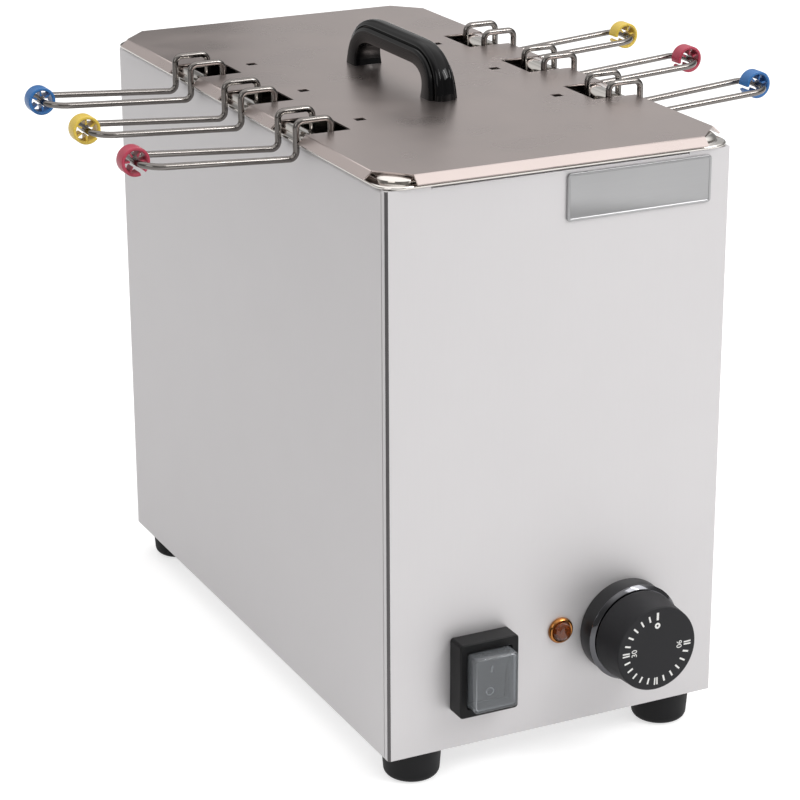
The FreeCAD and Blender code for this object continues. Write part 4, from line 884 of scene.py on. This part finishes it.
@dataclass
class LidHandle:
    """Moulded bridge handle: legs that flare to wide feet, stepped sides and a rounded crown."""

    body: str = "lid"
    crown_half: float = 4.5
    crown: float = 3.6
    groove: float = 0.5
    full_half: float = 6.3
    slimmer: float = 0.3
    flare: float = 1.5
    flare_top: float = 0.8
    lip: float = 0.9
    outside: tuple[tuple[float, float], ...] = (
        (50.0, 0.0), (49.9, 0.08), (49.5, 0.2), (48.6, 0.36), (47.0, 0.52), (44.5, 0.66), (41.0, 0.79),
        (36.6, 0.89), (31.4, 0.96), (26.0, 0.99), (20.0, 1.0))
    inside: tuple[tuple[float, float], ...] = (
        (35.6, 0.0), (35.9, 0.07), (36.1, 0.15), (35.9, 0.24), (35.1, 0.325), (33.6, 0.405), (31.3, 0.47),
        (28.4, 0.515), (25.0, 0.54), (21.6, 0.545), (18.0, 0.545))

    def section(self, half: float, depth: float) -> list[tuple[float, float]]:
        """One turn round the section.

        Args:
            half: half its width.
            depth: from the inside to the outside.

        Returns:
            Sideways place and share of the way from inside to outside.
        """
        top = self.crown_half * half / self.full_half
        step = 1 - self.crown / depth
        edge = self.lip
        lip = edge / depth
        shoulder = step + lip * 0.8
        right = [(half - edge, 0.0), (half - edge * 0.3, edge * 0.3 / depth), (half, edge / depth),
                 (half, step - 2.2 * lip), (half - 0.15, step - 1.2 * lip),
                 (half - 0.6, step - 0.5 * lip), (half - 1.1, step - 0.3 * lip),
                 (top + self.groove * 0.4, step - 0.2 * lip), (top - self.groove, step - 0.3 * lip),
                 (top - self.groove, step + lip * 0.3), (top, shoulder)]
        right += [(top * across, shoulder + (1 - shoulder) * up) for across, up in (
            (0.985, 0.28), (0.92, 0.52), (0.81, 0.70), (0.68, 0.82), (0.56, 0.88), (0.50, 0.86),
            (0.44, 0.91), (0.30, 0.965), (0.15, 0.99), (0.0, 1.0))]
        return right + mirrored(right[:-1])

    def build(self) -> None:
        """Loft the section along the arch, from one foot to the other."""
        low, high = box_mm("lid_handle")
        rise, slim, mid = high.z - low.z, high.x, (high.y + low.y) / 2
        legs = list(zip(self.smooth(self.inside), self.smooth(self.outside)))
        rings = []
        for way, ((iy, iz), (oy, oz)) in [(1, leg) for leg in legs] + [(-1, leg) for leg in legs[::-1]]:
            spread = self.flare * max(1 - (iz + oz) / 2 / self.flare_top, 0.0)
            depth = math.hypot(oy - iy, (oz - iz) * rise)
            rings.append([Vector((a, mid + way * (iy + (oy - iy) * s), low.z + rise * (iz + (oz - iz) * s)))
                          for a, s in self.section(slim - self.slimmer + spread, depth)])
        grip = Shape().loft(rings).object("moulded_handle", HANDLE_ANGLE)
        dress(grip, PHENOLIC, self.body, "handle_plastic", "lid_handle")

    @staticmethod
    def smooth(line: Sequence[tuple[float, float]]) -> list[tuple[float, float]]:
        """Put two points between each pair of a line, on a curve through all of them."""
        points = [Vector(p) for p in line]
        ends = [2 * points[0] - points[1], *points, 2 * points[-1] - points[-2]]
        curve = []
        for a, b, c, d in zip(ends, ends[1:], ends[2:], ends[3:]):
            for s in (0, 1 / 3, 2 / 3):
                curve.append(0.5 * (2 * b + (c - a) * s + (2 * a - 5 * b + 4 * c - d) * s * s
                                    + (3 * b - a - 3 * c + d) * s ** 3))
        return [(p.x, p.y) for p in [*curve, points[-1]]]


@dataclass
class EggBasket:
    """One hook-on basket: a bent wire, a cage for an egg and a clip-on grip."""

    side: int
    row: str
    colour: GripColour
    bender: WireBender
    repeater: RingRepeater
    slot_turn: float
    wire: float = 1.5
    bend: float = 3.3
    rear_bend: float = 5.2
    front_bend: float = 9.6
    spacing: float = 20.0
    end_spacing: float = 24.0
    rim_gap: float = 1.8
    handle_drop: float = 5.0
    band: float = 8.0
    strip: float = 6.0
    strip_sheet: float = 1.0
    strip_bend: float = 7.0
    grip_wall: float = 1.5
    grip_slot: float = 2.6
    rib: float = 0.75
    rib_clear: float = 0.9
    rib_sink: float = 0.3
    rib_short: float = 2.4
    grip_soft: float = 0.45
    grip_steps: int = 56

    def __post_init__(self) -> None:
        """Read the basket's place from the frame."""
        self.body = f"basket_{'left' if self.side < 0 else 'right'}_{self.row}"
        self.low, self.high = box_mm(f"{self.body}_wire")
        self.y = (self.low.y + self.high.y) / 2
        self.grip_x = max(abs(self.low.x), abs(self.high.x)) - self.wire
        low, high = box_mm(f"{self.body}_grip")
        self.grip_y, self.grip_z = (low.y + high.y) / 2, (low.z + high.z) / 2
        self.grip_half, self.grip_radius = (high.y - low.y) / 2, (high.z - low.z) / 2

    def make_wire(self, outer_x: float, top: float) -> None:
        """Bend the wire: cage hanger, hook over the rim, handle loop and back again."""
        inner_x = min(abs(self.low.x), abs(self.high.x)) + self.wire
        hook = self.high.z - self.wire
        wide, near = self.spacing / 2, self.end_spacing / 2
        arm = [(inner_x, wide, self.low.z, 0.0), (inner_x, wide, hook, self.bend),
               (outer_x, wide, hook, self.bend), (outer_x, wide, top - self.handle_drop, self.bend)]
        away = [*arm, (self.grip_x, near, self.grip_z, self.rear_bend)]
        home = [(self.grip_x, near, self.grip_z, self.front_bend), *reversed(arm)]
        away = [(Vector((self.side * x, self.y + y, z)), r) for x, y, z, r in away]
        home = [(Vector((self.side * x, self.y - y, z)), r) for x, y, z, r in home]
        piece = self.bender.bend(f"{self.body}_bent_wire", away + home, self.wire, WIRE_STEEL)
        dress(piece, WIRE_STEEL, self.body, "basket_wire", f"{self.body}_wire")

    def make_cage(self) -> None:
        """Roll the band and bend two crossed strips under it."""
        low, high = box_mm(f"{self.body}_cage")
        centre = (low + high) / 2
        r, t, bend, w, edge = (high.x - low.x) / 2, self.strip_sheet, self.strip_bend, self.strip / 2, 0.3
        inner, foot, top = r - t, high.z - self.band, high.z
        shape = Shape().lathe([
            (inner + edge, foot), (r - edge, foot), (r, foot + edge), (r, top - edge),
            (r - edge, top), (inner + edge, top), (inner, top - edge), (inner, foot + edge)],
            (centre.x, centre.y, 0), looped=True)
        outer, inside = ([(inner - back, top - 2)] + arc((inner - bend, low.z + bend), bend - back, 0, -90)
                         for back in (0, t))
        outer += mirrored(outer)
        inside += mirrored(inside)
        strip = outer + inside[::-1]
        shape.prism([(a + centre.x, b) for a, b in strip], centre.y - w, centre.y + w, axis="y")
        shape.prism([(a + centre.y, b) for a, b in strip], centre.x - w, centre.x + w, axis="x")
        dress(shape.object(f"{self.body}_egg_cage"), WIRE_STEEL, self.body, "basket_wire",
              f"{self.body}_cage")

    def make_grip(self) -> None:
        """Mould the split grip: an open ring with ribs that snap on the wire."""
        r, half, soft, steps = self.grip_radius, self.grip_half, self.grip_soft, self.grip_steps
        inner = r - self.grip_wall
        mouth = math.degrees(self.grip_slot / r)
        section = [(inner + soft, -half), (r - soft, -half)]
        section += arc((r - soft, -half + soft), soft, -90, 0, 4)
        section += arc((r - soft, half - soft), soft, 0, 90, 4)
        section += [(inner + soft, half), (inner, half - soft), (inner, soft - half)]
        centre = Vector((self.side * self.grip_x, self.grip_y, self.grip_z))
        # The mouth points towards the housing and a little down.
        middle = -self.slot_turn if self.side < 0 else 180 + self.slot_turn
        rings = []
        for i in range(steps + 1):
            t = math.radians(middle + mouth / 2 + (360 - mouth) * i / steps)
            rings.append([centre + Vector((a * math.cos(t), b, a * math.sin(t))) for a, b in section])
        finish, slot = self.colour.finish(), f"{self.colour.value[0]}_grip"
        grip = Shape().loft(rings).object(f"{self.body}_clip_grip")
        dress(grip, finish, self.body, slot, f"{self.body}_grip")
        near = self.wire + self.rib_clear
        reach = inner + self.rib_sink - near
        ribs = self.repeater.repeat(f"{self.body}_grip_ribs", finish, centre, 5, near + reach / 2,
                                    (reach, self.rib, 2 * half - self.rib_short), first=middle + 60, step=60)
        dress(ribs, finish, self.body, slot)

    def build(self, housing: Housing) -> None:
        """Make the wire, the cage and the grip."""
        self.make_wire(box_mm("water_tank")[1].x + self.rim_gap, housing.top)
        self.make_cage()
        self.make_grip()


@dataclass
class Knob:
    """Thermostat knob with printed marks, its bezel and the bright ring between them."""

    repeater: RingRepeater
    tick: tuple[float, float] = (3.0, 0.85)
    tick_ring: float = 15.9
    ink: float = 0.08
    first_tick: float = 105.0
    tick_step: float = 15.0
    number_size: float = 3.9
    number_ring: float = 11.7
    dot_ring: float = 11.6

    def __post_init__(self) -> None:
        """Read the knob's place from the frame."""
        self.low, self.high = box_mm("knob")
        self.middle = (self.low + self.high) / 2
        self.axis = (self.middle.x, 0, self.middle.z)
        # Middle of the ink, which lies on the face.
        self.print = Vector((self.middle.x, self.low.y + self.ink / 2, self.middle.z))

    def make_knob(self) -> None:
        """Turn the knob: hollow back, slim skirt, drafted side and a flat face."""
        r, face, back = (self.high.x - self.low.x) / 2, self.low.y + self.ink, self.high.y
        skirt = face + back - self.low.y
        profile = [(0, face), (r - 2.0, face)]
        profile += arc((r - 2.0, face + 0.9), 0.9, -90, -4, 6)
        profile += [(r - 0.25, skirt - 2.2), (r, skirt - 1.8), (r, back - 0.4), (r - 0.4, back),
                    (r - 2.2, back), (r - 2.4, face + 5), (5.0, face + 5), (5.0, back - 1),
                    (3.1, back - 1), (3.1, back - 11), (0, back - 11)]
        shape = Shape().lathe(profile, self.axis, axis="y")
        dress(shape.object("thermostat_knob"), KNOB_PLASTIC, "knob", "knob_plastic", "knob")

    def make_marks(self) -> None:
        """Print the ticks, the index with its dot and the two plain numbers."""
        (long, wide), ink, ring = self.tick, self.ink, self.tick_ring
        marks = [self.repeater.repeat(name, INK, self.print, count, ring + out, (a, b, ink), *angles)
                 for name, count, out, a, b, angles in (
                     ("dial_ticks", 17, 0, long, wide, (self.first_tick, self.tick_step, 6)),
                     ("dial_ticks_early", 3, 0.2, long + 0.6, wide * 0.8, (177.8, 90)),
                     ("dial_ticks_late", 3, 0.2, long + 0.6, wide * 0.8, (182.2, 90)),
                     ("dial_index", 1, 0.3, long + 0.7, 1.15, (90,)))]
        dot = Shape().lathe([(0.55, 0), (1.45, 0), (1.45, ink), (0.55, ink)],
                            (self.middle.x, self.low.y, self.middle.z + self.dot_ring), axis="y",
                            steps=32, looped=True)
        marks += [dot.object("dial_dot"), self.number("dial_30", "30", 180, 90),
                  self.number("dial_90", "90", 0, -90)]
        for mark in marks:
            dress(mark, INK, "knob", "knob_plastic")

    def number(self, name: str, text: str, place: float, turn: float) -> bpy.types.Object:
        """Set a plain number on the face, its top outwards, and make it a mesh."""
        letters = bpy.data.curves.new(name, "FONT")
        letters.body = text
        letters.align_x = letters.align_y = "CENTER"
        letters.size = self.number_size * MM
        letters.extrude = self.ink / 2 * MM
        piece = plain(new_object(name, letters))
        t = math.radians(place)
        spot = self.print + Vector((math.cos(t), 0, math.sin(t))) * self.number_ring
        turned = Matrix.Rotation(math.radians(turn), 4, "Z")
        piece.data.transform(Matrix.Translation(spot * MM) @ UPRIGHT @ turned)
        return piece

    def make_bezel(self) -> None:
        """Turn the fixed bezel and the bright ring."""
        low, high = box_mm("knob_bezel")
        r = (high.x - low.x) / 2
        bezel = [(5, high.y), (r - 0.3, high.y), (r, high.y - 0.3), (r - 0.35, low.y + 0.9),
                 (r - 0.9, low.y + 0.25), (r - 1.6, low.y), (5, low.y)]
        shape = Shape().lathe(bezel, self.axis, axis="y", looped=True)
        dress(shape.object("bezel"), BEZEL_PLASTIC, "housing", "black_plastic", "knob_bezel")
        low, high = box_mm("knob_trim_ring")
        r = (high.x - low.x) / 2
        ring = [(5, high.y), (r - 0.1, high.y), (r, high.y - 0.1), (r, high.y - 0.35),
                (r - 1.5, low.y + 0.1), (r - 1.75, low.y), (5, low.y)]
        shape = Shape().lathe(ring, self.axis, axis="y", looped=True)
        # The ring's dark colour is a painted dark reflection.
        dress(shape.object("trim_ring"), PAINTED_DARK_CHROME, "housing", "trim_chrome", "knob_trim_ring")

    def build(self) -> None:
        """Make the knob, its marks, the bezel and the ring."""
        self.make_knob()
        self.make_marks()
        self.make_bezel()


@dataclass
class Switch:
    """Rocker switch: moulded frame, clear splash cap and the rocker with its two marks."""

    body: str = "housing"
    corner: float = 1.6
    window_corner: float = 1.0
    window_gap: float = 0.3
    cap_sheet: float = 0.9
    cap_reach: float = 2.2
    mark_shift: float = 1.3
    mark_drop: float = 3.0
    mark_ink: float = 0.12
    edge_round: float = 0.8

    def make_frame(self) -> None:
        """Mould the frame with its window."""
        low, high = box_mm("switch_frame")
        window = box_mm("switch_cap")
        around, inside = (low, high, 0, self.corner), (*window, -self.window_gap, self.window_corner)
        rings = [rounded_ring(*line, y) for line, y in (
            (around, high.y), (around, low.y), (inside, low.y), (inside, high.y))]
        piece = Shape().loft(rings, looped=True).object("switch_bezel")
        bevel(piece, self.edge_round, 3, True)
        dress(piece, ABS, self.body, "black_plastic", "switch_frame")

    def make_cap(self) -> None:
        """Mould the clear cap: a thin open box with soft edges and a domed face."""
        low, high = box_mm("switch_cap")
        t, back, face = self.cap_sheet, high.y, low.y - self.cap_reach
        line = [(5.0, face + t), (2.4, face + t), (t + 0.4, face + t + 0.15), (t + 0.1, face + t + 0.6),
                (t, back), (0.0, back), (0.0, face + 0.9), (0.08, face + 0.5), (0.28, face + 0.2),
                (0.6, face + 0.08), (1.6, face + 0.02), (5.0, face)]
        rings = [rounded_ring(low, high, inset, max(self.corner - inset * 0.3, 0.5), y)
                 for inset, y in line]
        piece = Shape().loft(rings).object("clear_cap")
        dress(piece, CLEAR_CAP, self.body, "clear_cap", "switch_cap")

    def make_marks(self) -> None:
        """Print the plain on and off marks on the rocker's face."""
        faces = [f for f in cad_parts["rocker"].data.polygons
                 if f.normal.y < -0.5 and f.area > 20 * MM * MM]
        upper, lower = (end(faces, key=lambda f: f.center.z) for end in (max, min))
        bar = Shape().block((-0.3, -1.9, 0), (0.3, 1.9, self.mark_ink))
        ring = Shape().lathe([(1.55, 0), (2.05, 0), (2.05, self.mark_ink), (1.55, self.mark_ink)],
                             (0, 0, 0), steps=40, looped=True)
        low, high = box_mm("rocker")
        x = (low.x + high.x) / 2 + self.mark_shift
        for name, shape, face, drop in (("mark_on", bar, upper, self.mark_drop),
                                        ("mark_off", ring, lower, 0.0)):
            piece = shape.object(name)
            normal = face.normal.copy()
            up = (Vector((0, 0, 1)) - normal * normal.z).normalized()
            middle = Vector((x * MM, face.center.y, face.center.z))
            middle -= normal * (middle - face.center).dot(normal) + up * drop * MM
            turn = Matrix((up.cross(normal), up, normal)).transposed().to_4x4()
            piece.data.transform(Matrix.Translation(middle) @ turn)
            dress(piece, FAINT_INK, "rocker", "rocker_plastic")

    def build(self) -> None:
        """Make the frame, the cap and the marks."""
        self.make_frame()
        self.make_cap()
        self.make_marks()


@dataclass
class PilotLamp:
    """Amber pilot lamp: a brass-coloured collar, a bright reflector and a faceted lens."""

    body: str = "housing"
    facets: int = 12

    def build(self) -> None:
        """Turn the collar, the reflector and the lens."""
        low, high = box_mm("lamp_lens")
        axis = ((low.x + high.x) / 2, 0, (low.z + high.z) / 2)
        r, front, back = (high.x - low.x) / 2, low.y, high.y
        collar = Shape().lathe([
            (r - 1.6, back), (r - 0.2, back), (r, back - 0.3), (r - 0.05, back - 1.0),
            (r - 0.5, back - 1.8), (r - 1.1, back - 2.1), (r - 1.6, back - 1.9)],
            axis, axis="y", steps=64, looped=True)
        dress(collar.object("lamp_collar"), GILT, self.body, "brass_nut")
        core = Shape().lathe([(0, back), (r - 2.2, back), (r - 3.1, back - 1.6), (1.4, back - 1.9),
                              (0.9, back - 3.1), (0, back - 3.3)], axis, axis="y", steps=24)
        dress(core.object("lamp_reflector"), BRASS, self.body, "brass_nut")
        dome = r - 1.7
        lens = Shape().lathe([(0, back - 0.2), (dome, back - 0.2), (dome, back - 2.4),
                              (dome * 0.86, back - 3.6), (dome * 0.55, front + 0.4), (0, front)],
                             axis, axis="y", steps=self.facets)
        dress(lens.object("lamp_dome", FACET_ANGLE), AMBER, self.body, "amber_lens", "lamp_lens")


@dataclass
class Feet:
    """Four moulded rubber feet, drafted, with rounded toes and a well for the bolt."""

    radius: float = 14.0
    draft: float = 0.9
    toe: float = 3.6
    hole: float = 2.6
    well: float = 6.2
    well_depth: float = 6.0

    def build(self) -> None:
        """Turn the four feet."""
        low, high = box_mm("feet")
        r, top, slim = self.radius, high.z, self.radius - self.draft
        profile = [(self.hole, top), (r - 0.4, top), (r, top - 0.5), (slim, self.toe)]
        profile += arc((slim - self.toe, self.toe), self.toe, 0, -90, 10)
        profile += [(self.well + 0.5, 0.0), (self.well, 0.5), (self.well, self.well_depth),
                    (self.hole, self.well_depth)]
        shape = Shape()
        for x in (low.x + r, high.x - r):
            for y in (low.y + r, high.y - r):
                shape.lathe(profile, (x, y, low.z), steps=64, looped=True)
        dress(shape.object("rubber_feet"), RUBBER, "housing", "foot_rubber", "feet")


@dataclass
class Badge:
    """Bare anodised plate with soft corners and a slim raised border."""

    corner: float = 1.7
    border: float = 1.1
    recess: float = 0.25

    def build(self) -> None:
        """Loft the plate from its back to its recessed field."""
        low, high = box_mm("badge_plate")
        rings = [rounded_ring(low, high, inset, max(self.corner - inset, 0.4), y) for inset, y in (
            (0.0, high.y), (0.0, low.y + 0.5), (0.15, low.y + 0.15), (0.45, low.y),
            (self.border, low.y), (self.border + 0.3, low.y + self.recess))]
        dress(Shape().loft(rings).object("bare_badge"), BADGE, "housing", "badge_metal",
              "badge_plate")


@dataclass
class CableGland:
    """Gland for the mains lead, low in the back, with a fluted dome nut."""

    repeater: RingRepeater
    bore: float = 4.0
    thread: float = 7.8
    hexagon: float = 12.0
    hexagon_hole: float = 8.2
    hexagon_high: float = 6.0
    cap: float = 9.4

    def build(self, housing: Housing) -> None:
        """Turn the thread and dome, and add the hexagons and the flutes."""
        low, high = box_mm("cable_gland")
        x, z, panel, end = (low.x + high.x) / 2, (low.z + high.z) / 2, housing.back, high.y
        collar, neck, thread = panel + self.hexagon_high, self.cap - 0.9, self.thread
        profile = [(self.bore, low.y), (thread, low.y), (thread, panel - 4.8), (8.6, panel - 4.8),
                   (8.6, panel - 1.05), (7.6, panel - 1.0), (7.6, panel), (9.6, panel), (9.6, collar),
                   (neck, collar), (neck, end - 4)]
        profile += arc((self.cap - 4.4, end - 3.5), 3.5, 0, 90, 8) + [(self.bore, end)]
        shape = Shape().lathe(profile, (x, 0, z), axis="y", looped=True)
        for start, stop in ((panel + 0.02, collar), (panel - 4.6, panel - 1.02)):
            rings = [[Vector((a, y, b)) for a, b in arc((x, z), radius, 0, 300, 5)]
                     for radius, y in ((self.hexagon, start), (self.hexagon, stop),
                                       (self.hexagon_hole, stop), (self.hexagon_hole, start))]
            shape.loft(rings, looped=True)
        dress(shape.object("gland_body"), ABS, "housing", "black_plastic", "cable_gland")
        flutes = self.repeater.repeat("gland_flutes", ABS, Vector((x, collar + 2.6, z)), 24,
                                      self.cap - 0.75, (0.9, 0.9, 5.0))
        dress(flutes, ABS, "housing", "black_plastic")


@dataclass
class CarriedOver:
    """Frame nodes whose own shape is right, each with the finish of its material."""

    finishes: dict[str, Finish] = field(default_factory=lambda: {
        "bottom_plate": BODY_STEEL, "foot_bolts": ZINC, "bottom_plate_bolts": ZINC,
        "heating_element": HEATER_STEEL, "element_clamp_plate": ALUMINIUM,
        "element_clamp_nuts": ZINC, "thermostat_body": CONTROL_PLASTIC, "thermostat_nut": BRASS,
        "thermostat_bulb": COPPER, "capillary_tube": COPPER, "bulb_clip": BODY_STEEL,
        "safety_cutout": CONTROL_PLASTIC, "terminal_block": NYLON, "switch_housing": ABS,
        "lamp_body": NYLON, "thermostat_shaft": BRASS, "rocker": ROCKER_PLASTIC,
        "lid_handle_bolts": ZINC})

    def build(self) -> None:
        """Put each finish on its node."""
        for name, finish in self.finishes.items():
            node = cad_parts[name]
            for slot in node.material_slots:
                slot.material = finish.material()
            log.info("%s: carried over in %s", name, finish.name)


@dataclass
class Studio:
    """Pale floor, soft lamps and the camera at the photograph's angle."""

    azimuth: float = -25.98
    elevation: float = 19.99
    roll: float = -0.22
    distance: float = 1283.0
    aim_right: float = -0.19
    aim_up: float = -148.27
    focal_pixels: float = 2669.7
    image_pixels: float = 800.0
    sensor: float = 36.0
    floor_half: float = 6.0
    floor_glow: float = 0.62
    mirrored_floor: float = 0.78
    overhead: float = 1.45

    def camera(self, housing: Housing) -> None:
        """Stand the camera where the photograph was taken from."""
        a, e, r = (math.radians(v) for v in (self.azimuth, self.elevation, self.roll))
        back = Vector((math.sin(a) * math.cos(e), -math.cos(a) * math.cos(e), math.sin(e)))
        right = Vector((0, 0, 1)).cross(back).normalized()
        up = back.cross(right)
        right, up = right * math.cos(r) + up * math.sin(r), up * math.cos(r) - right * math.sin(r)
        lens = bpy.data.cameras.new("camera")
        lens.sensor_width = self.sensor
        lens.lens = self.focal_pixels / self.image_pixels * self.sensor
        camera = new_object("camera", lens)
        matrix = Matrix((right, up, back)).transposed().to_4x4()
        matrix.translation = (Vector((0, housing.middle.y, housing.top)) + right * self.aim_right
                              + up * self.aim_up + back * self.distance) * MM
        camera.matrix_world = matrix
        bpy.context.scene.camera = camera

    def lamp(self, name: str, place: Sequence[float], aim: Sequence[float], width: float,
             height: float, watts: float) -> None:
        """Hang one soft area lamp.

        Args:
            name: the lamp's name.
            place: its place in metres.
            aim: the point that it faces.
            width: of its panel.
            height: of its panel.
            watts: its power.
        """
        data = bpy.data.lights.new(name, "AREA")
        data.shape = "RECTANGLE"
        data.size, data.size_y = width, height
        data.energy = watts
        lamp = new_object(name, data)
        lamp.location = place
        lamp.rotation_euler = (Vector(aim) - Vector(place)).to_track_quat("-Z", "Y").to_euler()

    def floor(self) -> None:
        """Lay a pale matt floor that shows white and keeps the shadow."""
        mesh = bpy.data.meshes.new("floor")
        r = self.floor_half
        mesh.from_pydata([(-r, -r, 0), (r, -r, 0), (r, r, 0), (-r, r, 0)], [], [(0, 1, 2, 3)])
        floor = new_object("floor", mesh)
        material = bpy.data.materials.new("pale_paper_floor")
        material.use_nodes = True
        tree, math_node = material.node_tree, "ShaderNodeMath"
        tree.nodes.clear()
        paper = add_node(tree, "ShaderNodeBsdfDiffuse", {"Color": linear("#C8C8C8")})
        rays = add_node(tree, "ShaderNodeLightPath").outputs
        seen = add_node(tree, math_node, {0: rays["Is Camera Ray"], 1: rays["Is Glossy Ray"]},
                        operation="MAXIMUM")
        either = add_node(tree, math_node, {0: seen, 1: rays["Is Transmission Ray"]},
                          operation="MAXIMUM")
        spot = add_node(tree, "ShaderNodeTexCoord").outputs["Object"]
        shaded = self.flag(tree, spot, 0.2, 0.5, 0.25, -0.38)
        dimmed = add_node(tree, math_node, {0: shaded, 1: self.mirrored_floor}, operation="MULTIPLY")
        mirror_view = add_node(tree, "ShaderNodeMix", {
            0: rays["Is Glossy Ray"], 2: 1.0, 3: dimmed}, data_type="FLOAT")
        lift = add_node(tree, math_node, {0: either, 1: self.floor_glow}, operation="MULTIPLY")
        lift = add_node(tree, math_node, {0: lift, 1: mirror_view}, operation="MULTIPLY")
        glow = add_node(tree, "ShaderNodeEmission", {"Color": (1, 1, 1, 1), "Strength": lift})
        both = add_node(tree, "ShaderNodeAddShader", {0: paper, 1: glow})
        add_node(tree, "ShaderNodeOutputMaterial", {"Surface": both})
        mesh.materials.append(material)

    @staticmethod
    def flag(tree: bpy.types.NodeTree, place: bpy.types.NodeSocket, start: float, end: float,
             dark: float, back: float) -> bpy.types.Node:
        """Strength of the surroundings: a dark flag stands to the front left of the set.

        Args:
            tree: the tree that uses it.
            place: a direction, or a place on the floor.
            start: where the flag begins, measured towards it.
            end: where it is full.
            dark: strength inside it.
            back: change of strength from the front to the back.

        Returns:
            The node with the strength.
        """
        toward = add_node(tree, "ShaderNodeVectorMath", {0: place, 1: (-0.9, -0.44, 0.0)},
                          operation="DOT_PRODUCT")
        inside = add_node(tree, "ShaderNodeMapRange", {
            "Value": toward.outputs["Value"], "From Min": start, "From Max": end,
            "To Min": 1.0, "To Max": dark}, interpolation_type="SMOOTHSTEP")
        depth = add_node(tree, "ShaderNodeSeparateXYZ", {"Vector": place}).outputs["Y"]
        fall = add_node(tree, "ShaderNodeMapRange", {
            "Value": depth, "From Min": -0.4, "From Max": 0.3, "To Min": 1.0, "To Max": 1.0 + back},
            interpolation_type="SMOOTHSTEP")
        return add_node(tree, "ShaderNodeMath", {0: inside, 1: fall}, operation="MULTIPLY")

    def world(self) -> None:
        """Surround the set with soft light, white to the camera and graded in reflections."""
        world = bpy.data.worlds.new("studio")
        bpy.context.scene.world = world
        world.use_nodes = True
        tree, math_node = world.node_tree, "ShaderNodeMath"
        tree.nodes.clear()
        way = add_node(tree, "ShaderNodeTexCoord").outputs["Generated"]
        parts = add_node(tree, "ShaderNodeSeparateXYZ", {"Vector": way}).outputs
        rising = add_node(tree, "ShaderNodeMapRange", {
            "Value": parts["Z"], "From Min": 0.35, "From Max": 0.80, "To Min": 0.0, "To Max": 1.0},
            interpolation_type="SMOOTHSTEP")
        right, left = (add_node(tree, "ShaderNodeMapRange", {
            "Value": parts["X"], "From Min": start, "From Max": end, "To Min": near, "To Max": far})
            for start, end, near, far in ((0.30, 0.50, 0.17, 0.27), (-0.25, 0.12, 0.64, 0.21)))
        across = add_node(tree, math_node, {0: right, 1: left}, operation="MAXIMUM")
        flag = self.flag(tree, way, 0.3, 0.75, 0.35, 0.0)
        grade = add_node(tree, "ShaderNodeMix", {0: rising, 2: across, 3: self.overhead}, data_type="FLOAT")
        grade = add_node(tree, math_node, {0: grade, 1: flag}, operation="MULTIPLY")
        soft = add_node(tree, "ShaderNodeBackground", {
            "Color": (1.0, 0.99, 0.985, 1.0), "Strength": grade})
        white = add_node(tree, "ShaderNodeBackground", {"Color": (1, 1, 1, 1), "Strength": 1.0})
        rays = add_node(tree, "ShaderNodeLightPath").outputs
        seen = add_node(tree, math_node, {
            0: rays["Is Camera Ray"], 1: rays["Is Transmission Ray"]}, operation="MAXIMUM")
        mixed = add_node(tree, "ShaderNodeMixShader", {0: seen, 1: soft, 2: white})
        add_node(tree, "ShaderNodeOutputWorld", {"Surface": mixed})

    def build(self, housing: Housing) -> None:
        """Set up the camera, the floor, the world and the lamps."""
        self.camera(housing)
        self.floor()
        self.world()
        self.lamp("key", (1.1, -1.5, 1.6), (0, 0, 0.15), 1.2, 1.0, 18)
        self.lamp("fill", (-1.6, -0.9, 1.1), (0, 0, 0.15), 1.0, 1.0, 5)
        self.lamp("rear", (0.56, 0.80, 0.62), (0.05, -0.1, 0.28), 0.6, 0.5, 0.25)
        self.lamp("strip", (0.95, -1.35, 1.50), (0, 0, 0.28), 0.05, 0.9, 5)
        bpy.context.scene.view_settings.view_transform = "Standard"


def main() -> None:
    """Build every sub-assembly in order."""
    logging.basicConfig(level=logging.INFO, format="%(name)s %(message)s")
    housing = Housing()
    Studio().build(housing)
    housing.build()
    Tank().build(housing)
    Lid().build()
    bender, repeater = WireBender(), RingRepeater()
    blue, yellow, red = GripColour.BLUE, GripColour.YELLOW, GripColour.RED
    for side, row, colour, turn in (
        (-1, "rear", blue, 25), (-1, "middle", yellow, 30), (-1, "front", red, 60),
        (1, "rear", yellow, 12), (1, "middle", red, 25), (1, "front", blue, 14),
    ):
        EggBasket(side, row, colour, bender, repeater, turn).build(housing)
    Knob(repeater).build()
    Switch().build()
    PilotLamp().build()
    Feet().build()
    Badge().build()
    CableGland(repeater).build(housing)
    CarriedOver().build()


if __name__ == "__main__":
    main()
